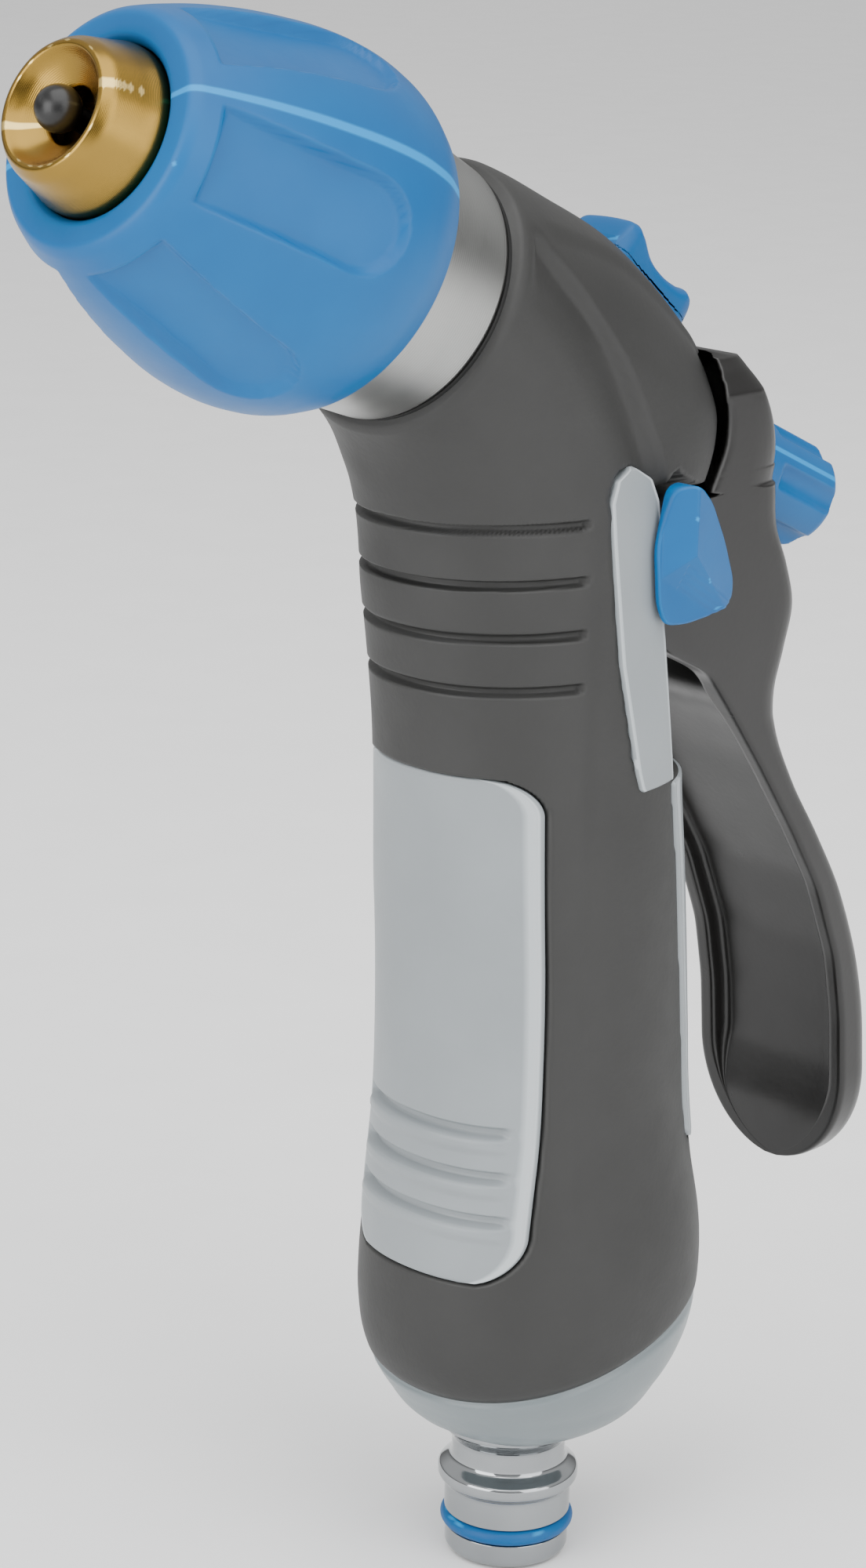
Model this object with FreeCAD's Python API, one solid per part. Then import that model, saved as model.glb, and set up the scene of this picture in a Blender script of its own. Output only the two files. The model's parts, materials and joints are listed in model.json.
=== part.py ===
"""Hose spray nozzle: a pistol-grip garden nozzle with a rear trigger, in millimetres.

The origin is the centre of the hose connector's end face. +Z runs up the handle, +X is the
spray side and +Y is the holder's left. The barrel's axis leans up towards the spray side.
Pieces on the barrel are drawn about their own Z axis, forward positive, and then laid on it.
"""
import FreeCAD, Part
import math
import os

V = FreeCAD.Vector

# ---- barrel axis -------------------------------------------------------------------------
BARREL_TILT = 25.0            # degrees above horizontal
BARREL_Z = 144.3              # where the barrel's axis crosses the handle's axis
COLLAR_S = 24.4               # end of the grip along the barrel

# ---- fits --------------------------------------------------------------------------------
RUN = 0.06                    # radial clearance of a turning or sliding fit
GAP = 0.3                     # free air between moving curved faces
SEAM = 0.1                    # joint line between two mouldings

# ---- hose connector (standard click fitting) -----------------------------------------------
INLET_BORE_R = 4.5
NOSE_R = 7.4
RING_R = 8.4                  # click ring
RING_Z = 9.4
RING_LENGTH = 1.3
WAIST_R = 6.8
FLANGE_R = 8.3
SHANK_R = 8.2
SHANK_Z0 = 17.6
SHANK_Z1 = 31.0
ORING_Z = 4.0
ORING_OUT_R = 8.0
ORING_CORD_R = 0.95
FILTER_R = 6.3
FILTER_Z = 25.6

# ---- grip mouldings ------------------------------------------------------------------------
GRIP_WALL = 2.8
SHAPE_N = 2.15                # how square the oval sections are; 2 is a true ellipse
SECTION_POINTS = 24
# handle sections: height, centre x, half depth forward, half depth rearward, half width
HANDLE = [
    (16.5, -1.9, 9.5, 9.5, 9.1), (18.5, -2.0, 13.2, 13.2, 12.4), (22.6, -2.1, 16.9, 16.9, 15.5),
    (27.8, -2.2, 19.6, 19.6, 17.8), (33.0, -2.4, 20.6, 20.6, 18.7), (38.0, -2.6, 20.8, 20.8, 18.8),
    (43.0, -2.6, 20.5, 20.5, 18.5), (49.8, -2.3, 19.8, 19.8, 17.8), (57.7, -2.1, 19.1, 19.1, 17.1),
    (67.4, -1.8, 18.7, 18.7, 16.8), (77.0, -1.3, 18.5, 18.5, 16.6), (86.5, -0.6, 18.4, 18.3, 16.5),
    (95.8, 0.0, 18.5, 17.9, 16.3), (104.6, 0.0, 19.3, 17.4, 16.1), (113.7, 0.0, 20.8, 16.8, 16.0)]
# bend sections, fanned about the crook: angle, nearest and furthest reach, half width
BEND_Z = 122.0
BEND_MID = 36.6
BEND = [
    (0.0, 15.0, 53.3, 16.0), (7.6, 15.0, 57.4, 16.0), (13.0, 15.1, 62.0, 15.9),
    (18.0, 15.3, 63.4, 15.8), (22.0, 15.5, 62.6, 15.7), (27.0, 15.8, 60.6, 15.6),
    (34.0, 16.4, 58.2, 15.5), (42.0, 17.2, 55.9, 15.5), (52.0, 18.7, 53.1, 15.5),
    (65.0, 20.5, 51.4, 15.5)]
BEZEL_Z = 29.2                # height of the bezel's seam on the handle's axis
BEZEL_SLOPE = 0.25            # the seam rises towards the back
PANEL_PROUD = 0.25
PANEL_THICK = 1.6
PANEL_Z0 = 41.0
PANEL_Z1 = 101.0
PANEL_HALF_Y = 14.4
PANEL_CORNER = 7.0

# ---- casting -------------------------------------------------------------------------------
TUBE_R = 8.2                  # handle tube
CHANNEL_R = 5.0
SOCKET_R = 12.0
SOCKET_Z0 = 19.0
BARREL_R = 12.4
NOSE_END = 46.0               # front end of the casting
CHAMBER_R = 7.4
CHAMBER_S0 = -5.0
CHAMBER_S1 = 22.0
REAR_TUBE_R = 8.0
REAR_S = -15.0

# ---- spray end -----------------------------------------------------------------------------
SLEEVE_R = 9.4
TUBE_FRONT_R = 6.92
SLEEVE_BORE_R = 5.4
SLEEVE_END = 66.0
NOZZLE_R = 9.0
NOZZLE_S0 = 50.0
NOZZLE_FACE = 72.4
RIM_S = 78.3
RIM_R = 6.7
ORIFICE_R = 2.9
ORIFICE_S = 74.4
PIN_R = 1.6
BULB_R = 2.4
BULB_S = 77.2
HEAD_S0 = 37.2
HEAD_S1 = 72.0
CORE_R = 14.6
FLUTES = 6
FLUTE_WIDTH = 10.6
FLUTE_DEPTH = 1.0

# ---- valve and trigger ---------------------------------------------------------------------
STEM_R = 2.0
STEM_FRONT = 23.5
STEM_REAR = -49.0
SEAT_R = 4.6
STRAP_S = -32.0               # flat rear face of the strap, where the washer bears
KNOB_R = 6.4
KNOB_S0 = -34.4
KNOB_S1 = -51.0
PIVOT_X = -8.0
PIVOT_Z = 124.0
PIVOT_PIN_R = 1.75
BUSH_R = 2.9
TRIGGER_HALF = 11.6
SLOT_HALF = 8.7               # half gap between the trigger's cheeks
EAR_IN = 12.4
EAR_OUT = 15.2
LOCK_X = -6.0
LOCK_Z = 129.6
LOCK_SHAFT_R = 2.0

TILT = math.radians(BARREL_TILT)
AXIS = V(math.cos(TILT), 0, math.sin(TILT))
UP = V(-math.sin(TILT), 0, math.cos(TILT))
BARREL = FreeCAD.Placement(V(0, 0, BARREL_Z), FreeCAD.Rotation(V(0, 1, 0), 90 - BARREL_TILT))


# ---- helpers -------------------------------------------------------------------------------
def rod(radius, z0, z1, x=0.0, y=0.0):
    return Part.makeCylinder(radius, z1 - z0, V(x, y, z0))


def ring(outer, inner, z0, z1):
    return rod(outer, z0, z1).cut(rod(inner, z0 - 1, z1 + 1))


def cross_rod(radius, x, z, y0, y1):
    """A rod along Y, for pins and their holes."""
    return Part.makeCylinder(radius, y1 - y0, V(x, y0, z), V(0, 1, 0))


def turned(profile):
    """A lathe-turned solid from (radius, z) points, closed in order."""
    points = [V(r, 0, z) for r, z in profile]
    face = Part.Face(Part.makePolygon(points + [points[0]]))
    return face.revolve(V(0, 0, 0), V(0, 0, 1), 360)


def smooth_turned(curve, closing):
    """A lathe-turned solid: a smooth curve of (radius, z) points closed by straight lines."""
    points = [V(r, 0, z) for r, z in curve]
    spline = Part.BSplineCurve()
    spline.interpolate(points)
    corner = [points[-1]] + [V(r, 0, z) for r, z in closing] + [points[0]]
    edges = [spline.toShape()] + [Part.makeLine(a, b) for a, b in zip(corner, corner[1:])]
    return Part.Face(Part.Wire(edges)).revolve(V(0, 0, 0), V(0, 0, 1), 360)


def oring(middle, cord, z):
    return Part.makeTorus(middle, cord, V(0, 0, z))


def hexagon(across, z0, z1):
    """A hexagonal nut blank of the given size across its flats."""
    reach = across / math.sqrt(3)
    points = [V(reach * math.cos(math.radians(60 * i)), reach * math.sin(math.radians(60 * i)), z0)
              for i in range(7)]
    return Part.Face(Part.makePolygon(points)).extrude(V(0, 0, z1 - z0))


def on_barrel(shape):
    """Lay a piece drawn about its own Z axis on the barrel's axis."""
    laid = shape.copy()
    laid.Placement = BARREL.multiply(laid.Placement)
    return laid


def barrel_point(s, h, y=0.0):
    return V(0, y, BARREL_Z) + AXIS * s + UP * h


def side_plate(outline, y0, y1):
    """A plate with straight sides from (x, z) points, between two Y planes."""
    points = [V(x, y0, z) for x, z in outline]
    return Part.Face(Part.makePolygon(points + [points[0]])).extrude(V(0, y1 - y0, 0))


def curved_plate(curves, y0, y1):
    """A plate bounded by smooth curves of (x, z) points laid end to end."""
    edges = []
    for curve in curves:
        points = [V(x, y0, z) for x, z in curve]
        if len(points) == 2:
            edges.append(Part.makeLine(*points))
        else:
            spline = Part.BSplineCurve()
            spline.interpolate(points)
            edges.append(spline.toShape())
    return Part.Face(Part.Wire(edges)).extrude(V(0, y1 - y0, 0))


def block(x0, x1, y0, y1, z0, z1):
    return Part.makeBox(x1 - x0, y1 - y0, z1 - z0, V(x0, y0, z0))


def both_sides(shape):
    """A shape and its mirror image across the middle plane."""
    return shape.fuse(shape.mirror(V(0, 0, 0), V(0, 1, 0)))


def save(node, *shapes):
    """Write one node, as one solid or a group of separate solids."""
    solids = [solid for shape in shapes for solid in shape.Solids]
    whole = solids[0] if len(solids) == 1 else Part.makeCompound(solids)
    bad = [solid for solid in solids if not solid.isValid() or solid.Volume <= 0]
    print(f"{node:18s} solids {len(solids)}  volume {whole.Volume:10.1f}{'  BAD' if bad else ''}")
    whole.exportStep(f"parts/{node}.step")


# ---- grip form -----------------------------------------------------------------------------
CROOK_H = (BEND_Z - BARREL_Z - COLLAR_S * math.sin(TILT)) / math.cos(TILT)
CROOK_X = COLLAR_S * math.cos(TILT) - CROOK_H * math.sin(TILT)


def oval(base, angle, near, middle, far, half_width):
    """A closed oval wire in the plane that leaves base rearwards at an angle above level."""
    out = V(-math.cos(angle), 0, math.sin(angle))
    points = []
    for i in range(SECTION_POINTS):
        turn = 2 * math.pi * i / SECTION_POINTS
        c, s = math.cos(turn), math.sin(turn)
        half = (middle - near) if c > 0 else (far - middle)
        reach = middle - math.copysign(abs(c) ** (2 / SHAPE_N), c) * half
        side = math.copysign(abs(s) ** (2 / SHAPE_N), s) * half_width
        points.append(base + out * reach + V(0, side, 0))
    curve = Part.BSplineCurve()
    curve.interpolate(Points=points, PeriodicFlag=True)
    return Part.Wire(curve.toShape())


def grip_form(inset=0.0):
    """The handle and barrel's outer form as one loft, drawn in by an inset."""
    wires = []
    for z, x, front, rear, half in HANDLE:
        wires.append(oval(V(CROOK_X, 0, z), 0, CROOK_X - x - front + inset, CROOK_X - x,
                          CROOK_X - x + rear - inset, half - inset))
    for angle, near, far, half in BEND:
        share = angle / BEND[-1][0]
        middle = CROOK_X + (BEND_MID - CROOK_X) * share
        wires.append(oval(V(CROOK_X, 0, BEND_Z), math.radians(angle), near + inset, middle,
                          far - inset, half - inset))
    return Part.makeLoft(wires, True, False)


def below_seam(drop=0.0):
    """Everything below the sloping seam between grip and bezel."""
    low, reach = -5.0, 40.0
    outline = [(-reach, low), (reach, low), (reach, BEZEL_Z - BEZEL_SLOPE * reach - drop),
               (-reach, BEZEL_Z + BEZEL_SLOPE * reach - drop)]
    return side_plate(outline, -reach, reach)


def panel_window(grow=0.0):
    """The front panel's outline as a prism through the front of the handle."""
    half = PANEL_HALF_Y + grow
    z0, z1 = PANEL_Z0 - grow, PANEL_Z1 + grow
    r = PANEL_CORNER + grow
    shoulder = z1 - 5.0
    k = r * (1 - math.sqrt(0.5))
    edges = [
        Part.makeLine(V(0, -half, shoulder - 2), V(0, -half, z0 + r)),
        Part.Arc(V(0, -half, z0 + r), V(0, -half + k, z0 + k), V(0, -half + r, z0)).toShape(),
        Part.makeLine(V(0, -half + r, z0), V(0, half - r, z0)),
        Part.Arc(V(0, half - r, z0), V(0, half - k, z0 + k), V(0, half, z0 + r)).toShape(),
        Part.makeLine(V(0, half, z0 + r), V(0, half, shoulder - 2)),
        Part.Arc(V(0, half, shoulder - 2), V(0, half - 0.8, shoulder - 0.3),
                 V(0, half - 2.5, shoulder)).toShape(),
        Part.Arc(V(0, half - 2.5, shoulder), V(0, 0, z1), V(0, -half + 2.5, shoulder)).toShape(),
        Part.Arc(V(0, -half + 2.5, shoulder), V(0, -half + 0.8, shoulder - 0.3),
                 V(0, -half, shoulder - 2)).toShape()]
    return Part.Face(Part.Wire(edges)).extrude(V(30, 0, 0))


# the ear's front edge, its top, and the opening behind it under the barrel's bulge
EAR_TOP = 135.3
EAR_FOOT = 99.0
SPINE_Z0 = 52.5
EAR_EDGE = [(-1.4, EAR_FOOT), (0.2, 101.0), (2.9, 113.0), (4.9, 126.6), (5.6, 133.0),
            (4.6, EAR_TOP), (2.2, EAR_TOP + 0.3), (-0.6, EAR_TOP - 0.6)]
EAR_BACK = [(-3.0, 130.0), (-4.8, 116.2), (-7.7, 101.0), (-8.3, 97.4)]
SPINE_EDGE = [(-8.3, 97.4), (-9.9, 87.7), (-12.0, 68.2), (-13.4, 54.0), (-15.0, SPINE_Z0)]
MOUTH_TOP = [(-5.5, 133.8), (-9.6, 131.7), (-14.4, 130.9), (-19.0, 131.4), (-30.0, 133.0)]


def frame_side():
    """Side outline of the ears and the spine, as a prism right across the handle."""
    outline = EAR_EDGE + EAR_BACK + [(-30, 97.4), (-30, SPINE_Z0)] + SPINE_EDGE[::-1][:-1]
    outline = outline + [(-6.4, 98.0)]
    return side_plate(outline, -30, 30)


def rear_opening():
    """Side outline of all that is cut from the grip behind and under the barrel's bulge."""
    outline = EAR_EDGE + MOUTH_TOP + [(-30, SPINE_Z0)] + SPINE_EDGE[::-1] + [(-6.4, 98.0)]
    return side_plate(outline, -30, 30)


# ---- hose end ------------------------------------------------------------------------------
def make_hose_connector():
    groove = ORING_OUT_R - 2 * ORING_CORD_R
    half = ORING_CORD_R + 0.1
    body = turned([
        (INLET_BORE_R, 0), (NOSE_R - 0.5, 0), (NOSE_R, 0.6), (NOSE_R, ORING_Z - half),
        (groove, ORING_Z - half), (groove, ORING_Z + half), (NOSE_R + 0.15, ORING_Z + half),
        (NOSE_R + 0.15, RING_Z - 0.8), (RING_R, RING_Z), (RING_R, RING_Z + RING_LENGTH),
        (WAIST_R, RING_Z + RING_LENGTH + 1.2), (WAIST_R, SHANK_Z0 - 3.0), (FLANGE_R, SHANK_Z0 - 1.2),
        (FLANGE_R, SHANK_Z0), (SHANK_R, SHANK_Z0), (SHANK_R, SHANK_Z1), (INLET_BORE_R, SHANK_Z1)])
    return body.cut(rod(FILTER_R + 0.05, FILTER_Z, SHANK_Z1 + 1))


def make_filter_screen():
    cup = rod(FILTER_R, FILTER_Z, SHANK_Z1 - 0.2).cut(rod(FILTER_R - 0.7, FILTER_Z + 0.8, SHANK_Z1 + 1))
    for count, radius in ((1, 0.0), (6, 2.0), (12, 4.0)):
        for i in range(count):
            turn = 2 * math.pi * i / count
            hole = rod(0.55, FILTER_Z - 1, FILTER_Z + 2, radius * math.cos(turn), radius * math.sin(turn))
            cup = cup.cut(hole)
    return cup


# ---- casting -------------------------------------------------------------------------------
WASHER_TOP = SHANK_Z1 + 1.2


def make_casting():
    handle = rod(TUBE_R, SOCKET_Z0, BARREL_Z - 4).fuse(rod(SOCKET_R, SOCKET_Z0, WASHER_TOP + 3.5))
    handle = handle.fuse(block(PIVOT_X - 4.2, 0, -TUBE_R, TUBE_R, PIVOT_Z - 5, PIVOT_Z + 6))
    barrel = rod(BARREL_R, CHAMBER_S0 + 1, NOSE_END).fuse(rod(REAR_TUBE_R, REAR_S, CHAMBER_S0 + 2))
    body = handle.fuse(on_barrel(barrel)).removeSplitter()
    hollow = rod(CHAMBER_R, CHAMBER_S0, CHAMBER_S1).fuse(rod(SLEEVE_R, CHAMBER_S1, NOSE_END + 1))
    hollow = hollow.fuse(rod(5.5, REAR_S - 1, CHAMBER_S0 - 3.5)).fuse(rod(4.0, REAR_S, CHAMBER_S0 + 1))
    body = body.cut(on_barrel(hollow))
    body = body.cut(rod(CHANNEL_R, WASHER_TOP - 1, BARREL_Z)).cut(rod(SHANK_R, 0, WASHER_TOP))
    return body.cut(cross_rod(PIVOT_PIN_R, PIVOT_X, PIVOT_Z, -30, 30)).cut(slider_relief())


# ---- grip pieces ---------------------------------------------------------------------------
def make_grip_pieces(casting):
    outer = grip_form()
    inner = grip_form(GRIP_WALL)
    tail_hole = on_barrel(rod(STEM_R + 1.2, -40, REAR_S + 2))
    wall = outer.cut(inner)
    cheek_slot = block(-40, -2.0, -EAR_IN + 0.2, EAR_IN - 0.2, 97.6, EAR_TOP - 2)

    shell = wall.cut(below_seam()).cut(rear_opening()).cut(casting).cut(tail_hole)
    panel_skin = grip_form(-PANEL_PROUD).cut(grip_form(PANEL_THICK - PANEL_PROUD))
    recess = grip_form(-1.0).cut(grip_form(PANEL_THICK - PANEL_PROUD)).common(panel_window(SEAM))
    shell = shell.cut(recess).cut(slider_pocket())
    panel = panel_skin.common(panel_window())

    frame = wall.common(frame_side()).cut(cheek_slot)
    lobe = side_plate([(2.0, 116.0), (4.4, 126.0), (3.6, 132.5), (-3.0, 133.2), (-8.6, 132.6),
                       (-10.2, 129.0), (-12.4, 125.5), (-12.0, 121.5), (-9.0, 118.6)],
                      EAR_IN, EAR_OUT)
    boss = cross_rod(3.1, LOCK_X, LOCK_Z, EAR_IN, EAR_OUT + 0.9)
    frame = frame.fuse(both_sides(lobe)).fuse(boss)
    shell = shell.cut(both_sides(lobe)).cut(frame)
    # the grip is one moulding: the cut leaves two loose shavings of 0.01 mm3 at the ears' lower corners
    shell = max(shell.Solids, key=lambda solid: solid.Volume)
    frame = frame.cut(cross_rod(PIVOT_PIN_R, PIVOT_X, PIVOT_Z, -30, 30))
    frame = frame.cut(cross_rod(LOCK_SHAFT_R + RUN, LOCK_X, LOCK_Z, 0, 30))

    bezel = outer.common(below_seam(SEAM)).cut(rod(SOCKET_R + SEAM, SOCKET_Z0 - SEAM, 50))
    bezel = bezel.cut(rod(FLANGE_R + SEAM, 0, SOCKET_Z0))
    return shell, panel, frame, bezel


# ---- thumb slider --------------------------------------------------------------------------
# The slide runs along a flat on the sloping back; its own frame is barrel (s, h) turned down.
SLIDE_TILT = 15.0
SLIDE_ANCHOR_S = -8.5
SLIDE_ANCHOR_H = 12.0
SLIDER_LENGTH = 15.5
SLIDER_HALF = 4.6
SLIDE_TRAVEL = 5.0
POCKET_FLOOR = -0.4
PLATE_TOP = -2.9
PLATE_HALF = 4.4
RIDE = FreeCAD.Placement(barrel_point(SLIDE_ANCHOR_S, SLIDE_ANCHOR_H),
                         FreeCAD.Rotation(V(0, 1, 0), -(BARREL_TILT + SLIDE_TILT)))


def on_slide(shape):
    """Lay a piece drawn with X along the slide and Z off the back in its place."""
    laid = shape.copy()
    laid.Placement = RIDE.multiply(laid.Placement)
    return laid


def slider_pocket():
    half = SLIDER_LENGTH / 2
    floor = block(-half - 0.5, half + SLIDE_TRAVEL + 0.5, -SLIDER_HALF - 0.4, SLIDER_HALF + 0.4,
                  POCKET_FLOOR, 12)
    slot = block(-3.4, 3.4 + SLIDE_TRAVEL, -1.4, 1.4, -6, 1)
    return on_slide(floor.fuse(slot))


def slider_relief():
    """Room in the casting for the retaining plate's travel."""
    return on_slide(block(-PLATE_HALF - GAP, PLATE_HALF + SLIDE_TRAVEL + GAP, -2.6 - GAP, 2.6 + GAP,
                          PLATE_TOP - 1.0 - GAP, 6.0))


def make_thumb_slider():
    half = SLIDER_LENGTH / 2
    top = [(-half, 0.0), (-half, 2.2), (-half + 2.0, 4.1), (-3.0, 3.2), (1.5, 3.1), (half - 2.6, 4.9),
           (half - 0.6, 4.4), (half, 2.6), (half, 0.0)]
    cap = side_plate(top, -SLIDER_HALF, SLIDER_HALF)
    stalk = block(-3.0, 3.0, -1.1, 1.1, PLATE_TOP, 0.2)
    return on_slide(cap.fuse(stalk).removeSplitter())


def make_slider_plate():
    return on_slide(block(-PLATE_HALF, PLATE_HALF, -2.6, 2.6, PLATE_TOP - 1.0, PLATE_TOP))


# ---- spray end -----------------------------------------------------------------------------
def make_collar():
    return turned([(BARREL_R + 0.05, COLLAR_S + 0.5), (14.3, COLLAR_S + 0.5), (14.7, COLLAR_S + 0.9),
                   (15.7, HEAD_S0 - 1.5), (15.9, HEAD_S0 + 1.8), (BARREL_R + 0.05, HEAD_S0 + 1.8)])


def make_thread_sleeve():
    shank = ring(SLEEVE_R, SLEEVE_BORE_R, CHAMBER_S1, NOSE_END)
    tube = ring(TUBE_FRONT_R, SLEEVE_BORE_R, NOSE_END, SLEEVE_END)
    groove = ring(TUBE_FRONT_R + 1, TUBE_FRONT_R - 1.0, 60.2, 61.8)
    back = ring(SLEEVE_R + 1, SLEEVE_R - 1.1, 30.2, 31.8)
    return shank.fuse(tube).cut(groove).cut(back).removeSplitter()


def make_spray_pin():
    """A three-armed spider that holds the needle in the middle of the stream."""
    spider = ring(SLEEVE_BORE_R, SLEEVE_BORE_R - 0.9, 50, 53).fuse(rod(2.3, 49, 54))
    for i in range(3):
        arm = Part.makeBox(SLEEVE_BORE_R - 1.5, 1.0, 3, V(1.2, -0.5, 50))
        arm.rotate(V(0, 0, 0), V(0, 0, 1), 120 * i)
        spider = spider.fuse(arm)
    needle = turned([(0, 50), (PIN_R, 50), (PIN_R, 71.0), (1.25, 72.2), (1.25, BULB_S - 1.9),
                     (0, BULB_S - 1.9)])
    bulb = Part.makeSphere(BULB_R, V(0, 0, BULB_S))
    return spider.fuse(needle).fuse(bulb).removeSplitter()


def make_nozzle_tip():
    return turned([
        (NOZZLE_R, NOZZLE_S0), (NOZZLE_R, NOZZLE_FACE), (8.5, NOZZLE_FACE + 1.4),
        (7.4, RIM_S - 0.9), (RIM_R, RIM_S), (RIM_R - 0.5, RIM_S), (ORIFICE_R, ORIFICE_S + 1.0),
        (ORIFICE_R, ORIFICE_S), (TUBE_FRONT_R + 0.08, 70.0), (TUBE_FRONT_R + 0.08, NOZZLE_S0)])


def make_twist_head():
    outline = [(17.8, HEAD_S0), (19.4, HEAD_S0 + 3.5), (20.0, 46.0), (19.4, 52.0), (17.9, 58.5),
               (15.9, 64.5), (14.0, 69.0), (13.2, 71.0), (12.2, HEAD_S1)]
    inside = [(NOZZLE_R + RUN + 0.02, HEAD_S1), (NOZZLE_R + RUN + 0.02, 62), (CORE_R, 60),
              (CORE_R, 40.4), (16.4, 40.4), (16.4, HEAD_S0)]
    head = smooth_turned(outline, inside)
    slope = math.degrees(math.atan2(19.4 - 14.4, 68.0 - 50.0))
    for i in range(FLUTES):
        slot = block(0, 12, -FLUTE_WIDTH / 2, FLUTE_WIDTH / 2, 0, 40)
        slot = slot.fuse(Part.makeCylinder(FLUTE_WIDTH / 2, 12, V(0, 0, 0), V(1, 0, 0)))
        slot.rotate(V(0, 0, 0), V(0, 1, 0), -slope)
        slot.translate(V(19.4 - FLUTE_DEPTH, 0, 50.5))
        slot = slot.common(rod(30, 44, 68.6))
        slot.rotate(V(0, 0, 0), V(0, 0, 1), 360 / FLUTES * i + 90)
        head = head.cut(slot)
    return head


def make_head_core():
    return turned([(BARREL_R + RUN, 40.4), (CORE_R, 40.4), (CORE_R, 60.0), (NOZZLE_R + RUN, 60.0),
                   (NOZZLE_R + RUN, NOSE_END + 2), (BARREL_R + RUN, NOSE_END + 0.6)])


# ---- valve ---------------------------------------------------------------------------------
def make_valve_stem():
    rodlike = rod(STEM_R, STEM_REAR, STEM_FRONT)
    return rodlike.fuse(rod(3.2, 15.6, 16.6)).removeSplitter()


def make_return_spring():
    """A coil lofted through eight-sided wire sections, twelve to a turn."""
    radius, wire, low, high, turns = 5.4, 0.6, CHAMBER_S0 + 0.7, 14.4, 6
    steps = 12 * turns
    sections = []
    for i in range(steps + 1):
        turn = 2 * math.pi * i / 12
        outward = V(math.cos(turn), math.sin(turn), 0)
        middle = outward * radius + V(0, 0, low + (high - low) * i / steps)
        corners = []
        for k in range(9):
            roll = math.pi / 4 * k
            corners.append(middle + outward * (wire * math.cos(roll)) + V(0, 0, wire * math.sin(roll)))
        sections.append(Part.makePolygon(corners))
    coil = Part.makeLoft(sections, True, True)
    return coil if coil.Volume > 0 else coil.reversed()


def make_flow_knob():
    knob = turned([(0, KNOB_S1), (KNOB_R - 1.0, KNOB_S1), (KNOB_R, KNOB_S1 + 1.0),
                   (KNOB_R, KNOB_S0 - 0.6), (KNOB_R - 0.6, KNOB_S0), (0, KNOB_S0)])
    for i in range(6):
        flute = rod(1.9, KNOB_S1 - 1, KNOB_S0 - 4.5, KNOB_R + 0.9, 0)
        flute.rotate(V(0, 0, 0), V(0, 0, 1), 60 * i)
        knob = knob.cut(flute)
    return knob.cut(rod(3.6, KNOB_S0 - 8.6, 0)).cut(rod(STEM_R + 0.5, STEM_REAR - 0.5, 0))


# ---- trigger -------------------------------------------------------------------------------
TRIGGER_BACK = [(-17.6, 146.4), (-20.6, 145.2), (-24.2, 142.2), (-27.4, 137.6), (-29.0, 133.0),
                (-29.6, 128.5), (-30.2, 123.5), (-32.4, 118.6), (-33.8, 113.8), (-32.6, 108.6),
                (-31.2, 103.6), (-31.6, 98.6), (-34.8, 91.6), (-39.6, 84.6), (-44.6, 76.6),
                (-48.2, 68.6), (-50.6, 60.6), (-51.6, 52.6), (-51.9, 44.6), (-51.6, 37.6)]
TRIGGER_FRONT = [(-47.4, 37.6), (-46.9, 44.0), (-46.2, 52.0), (-45.6, 59.0), (-43.9, 67.3),
                 (-39.6, 77.4), (-34.5, 85.3), (-28.0, 94.4), (-21.6, 102.8), (-17.1, 108.4),
                 (-11.5, 110.6), (-7.0, 114.0), (-4.2, 119.5), (-3.6, 124.5), (-4.8, 128.4)]
TRIGGER_TOP = [(-4.8, 128.4), (-8.0, 129.0), (-14.0, 128.6), (-18.5, 127.6), (-21.4, 128.0),
               (-23.6, 130.4), (-24.6, 134.4), (-23.6, 138.4), (-20.8, 142.2), (-17.6, 144.9)]
TIP_Z = 37.6
TIP_RISE = 14.0


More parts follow.
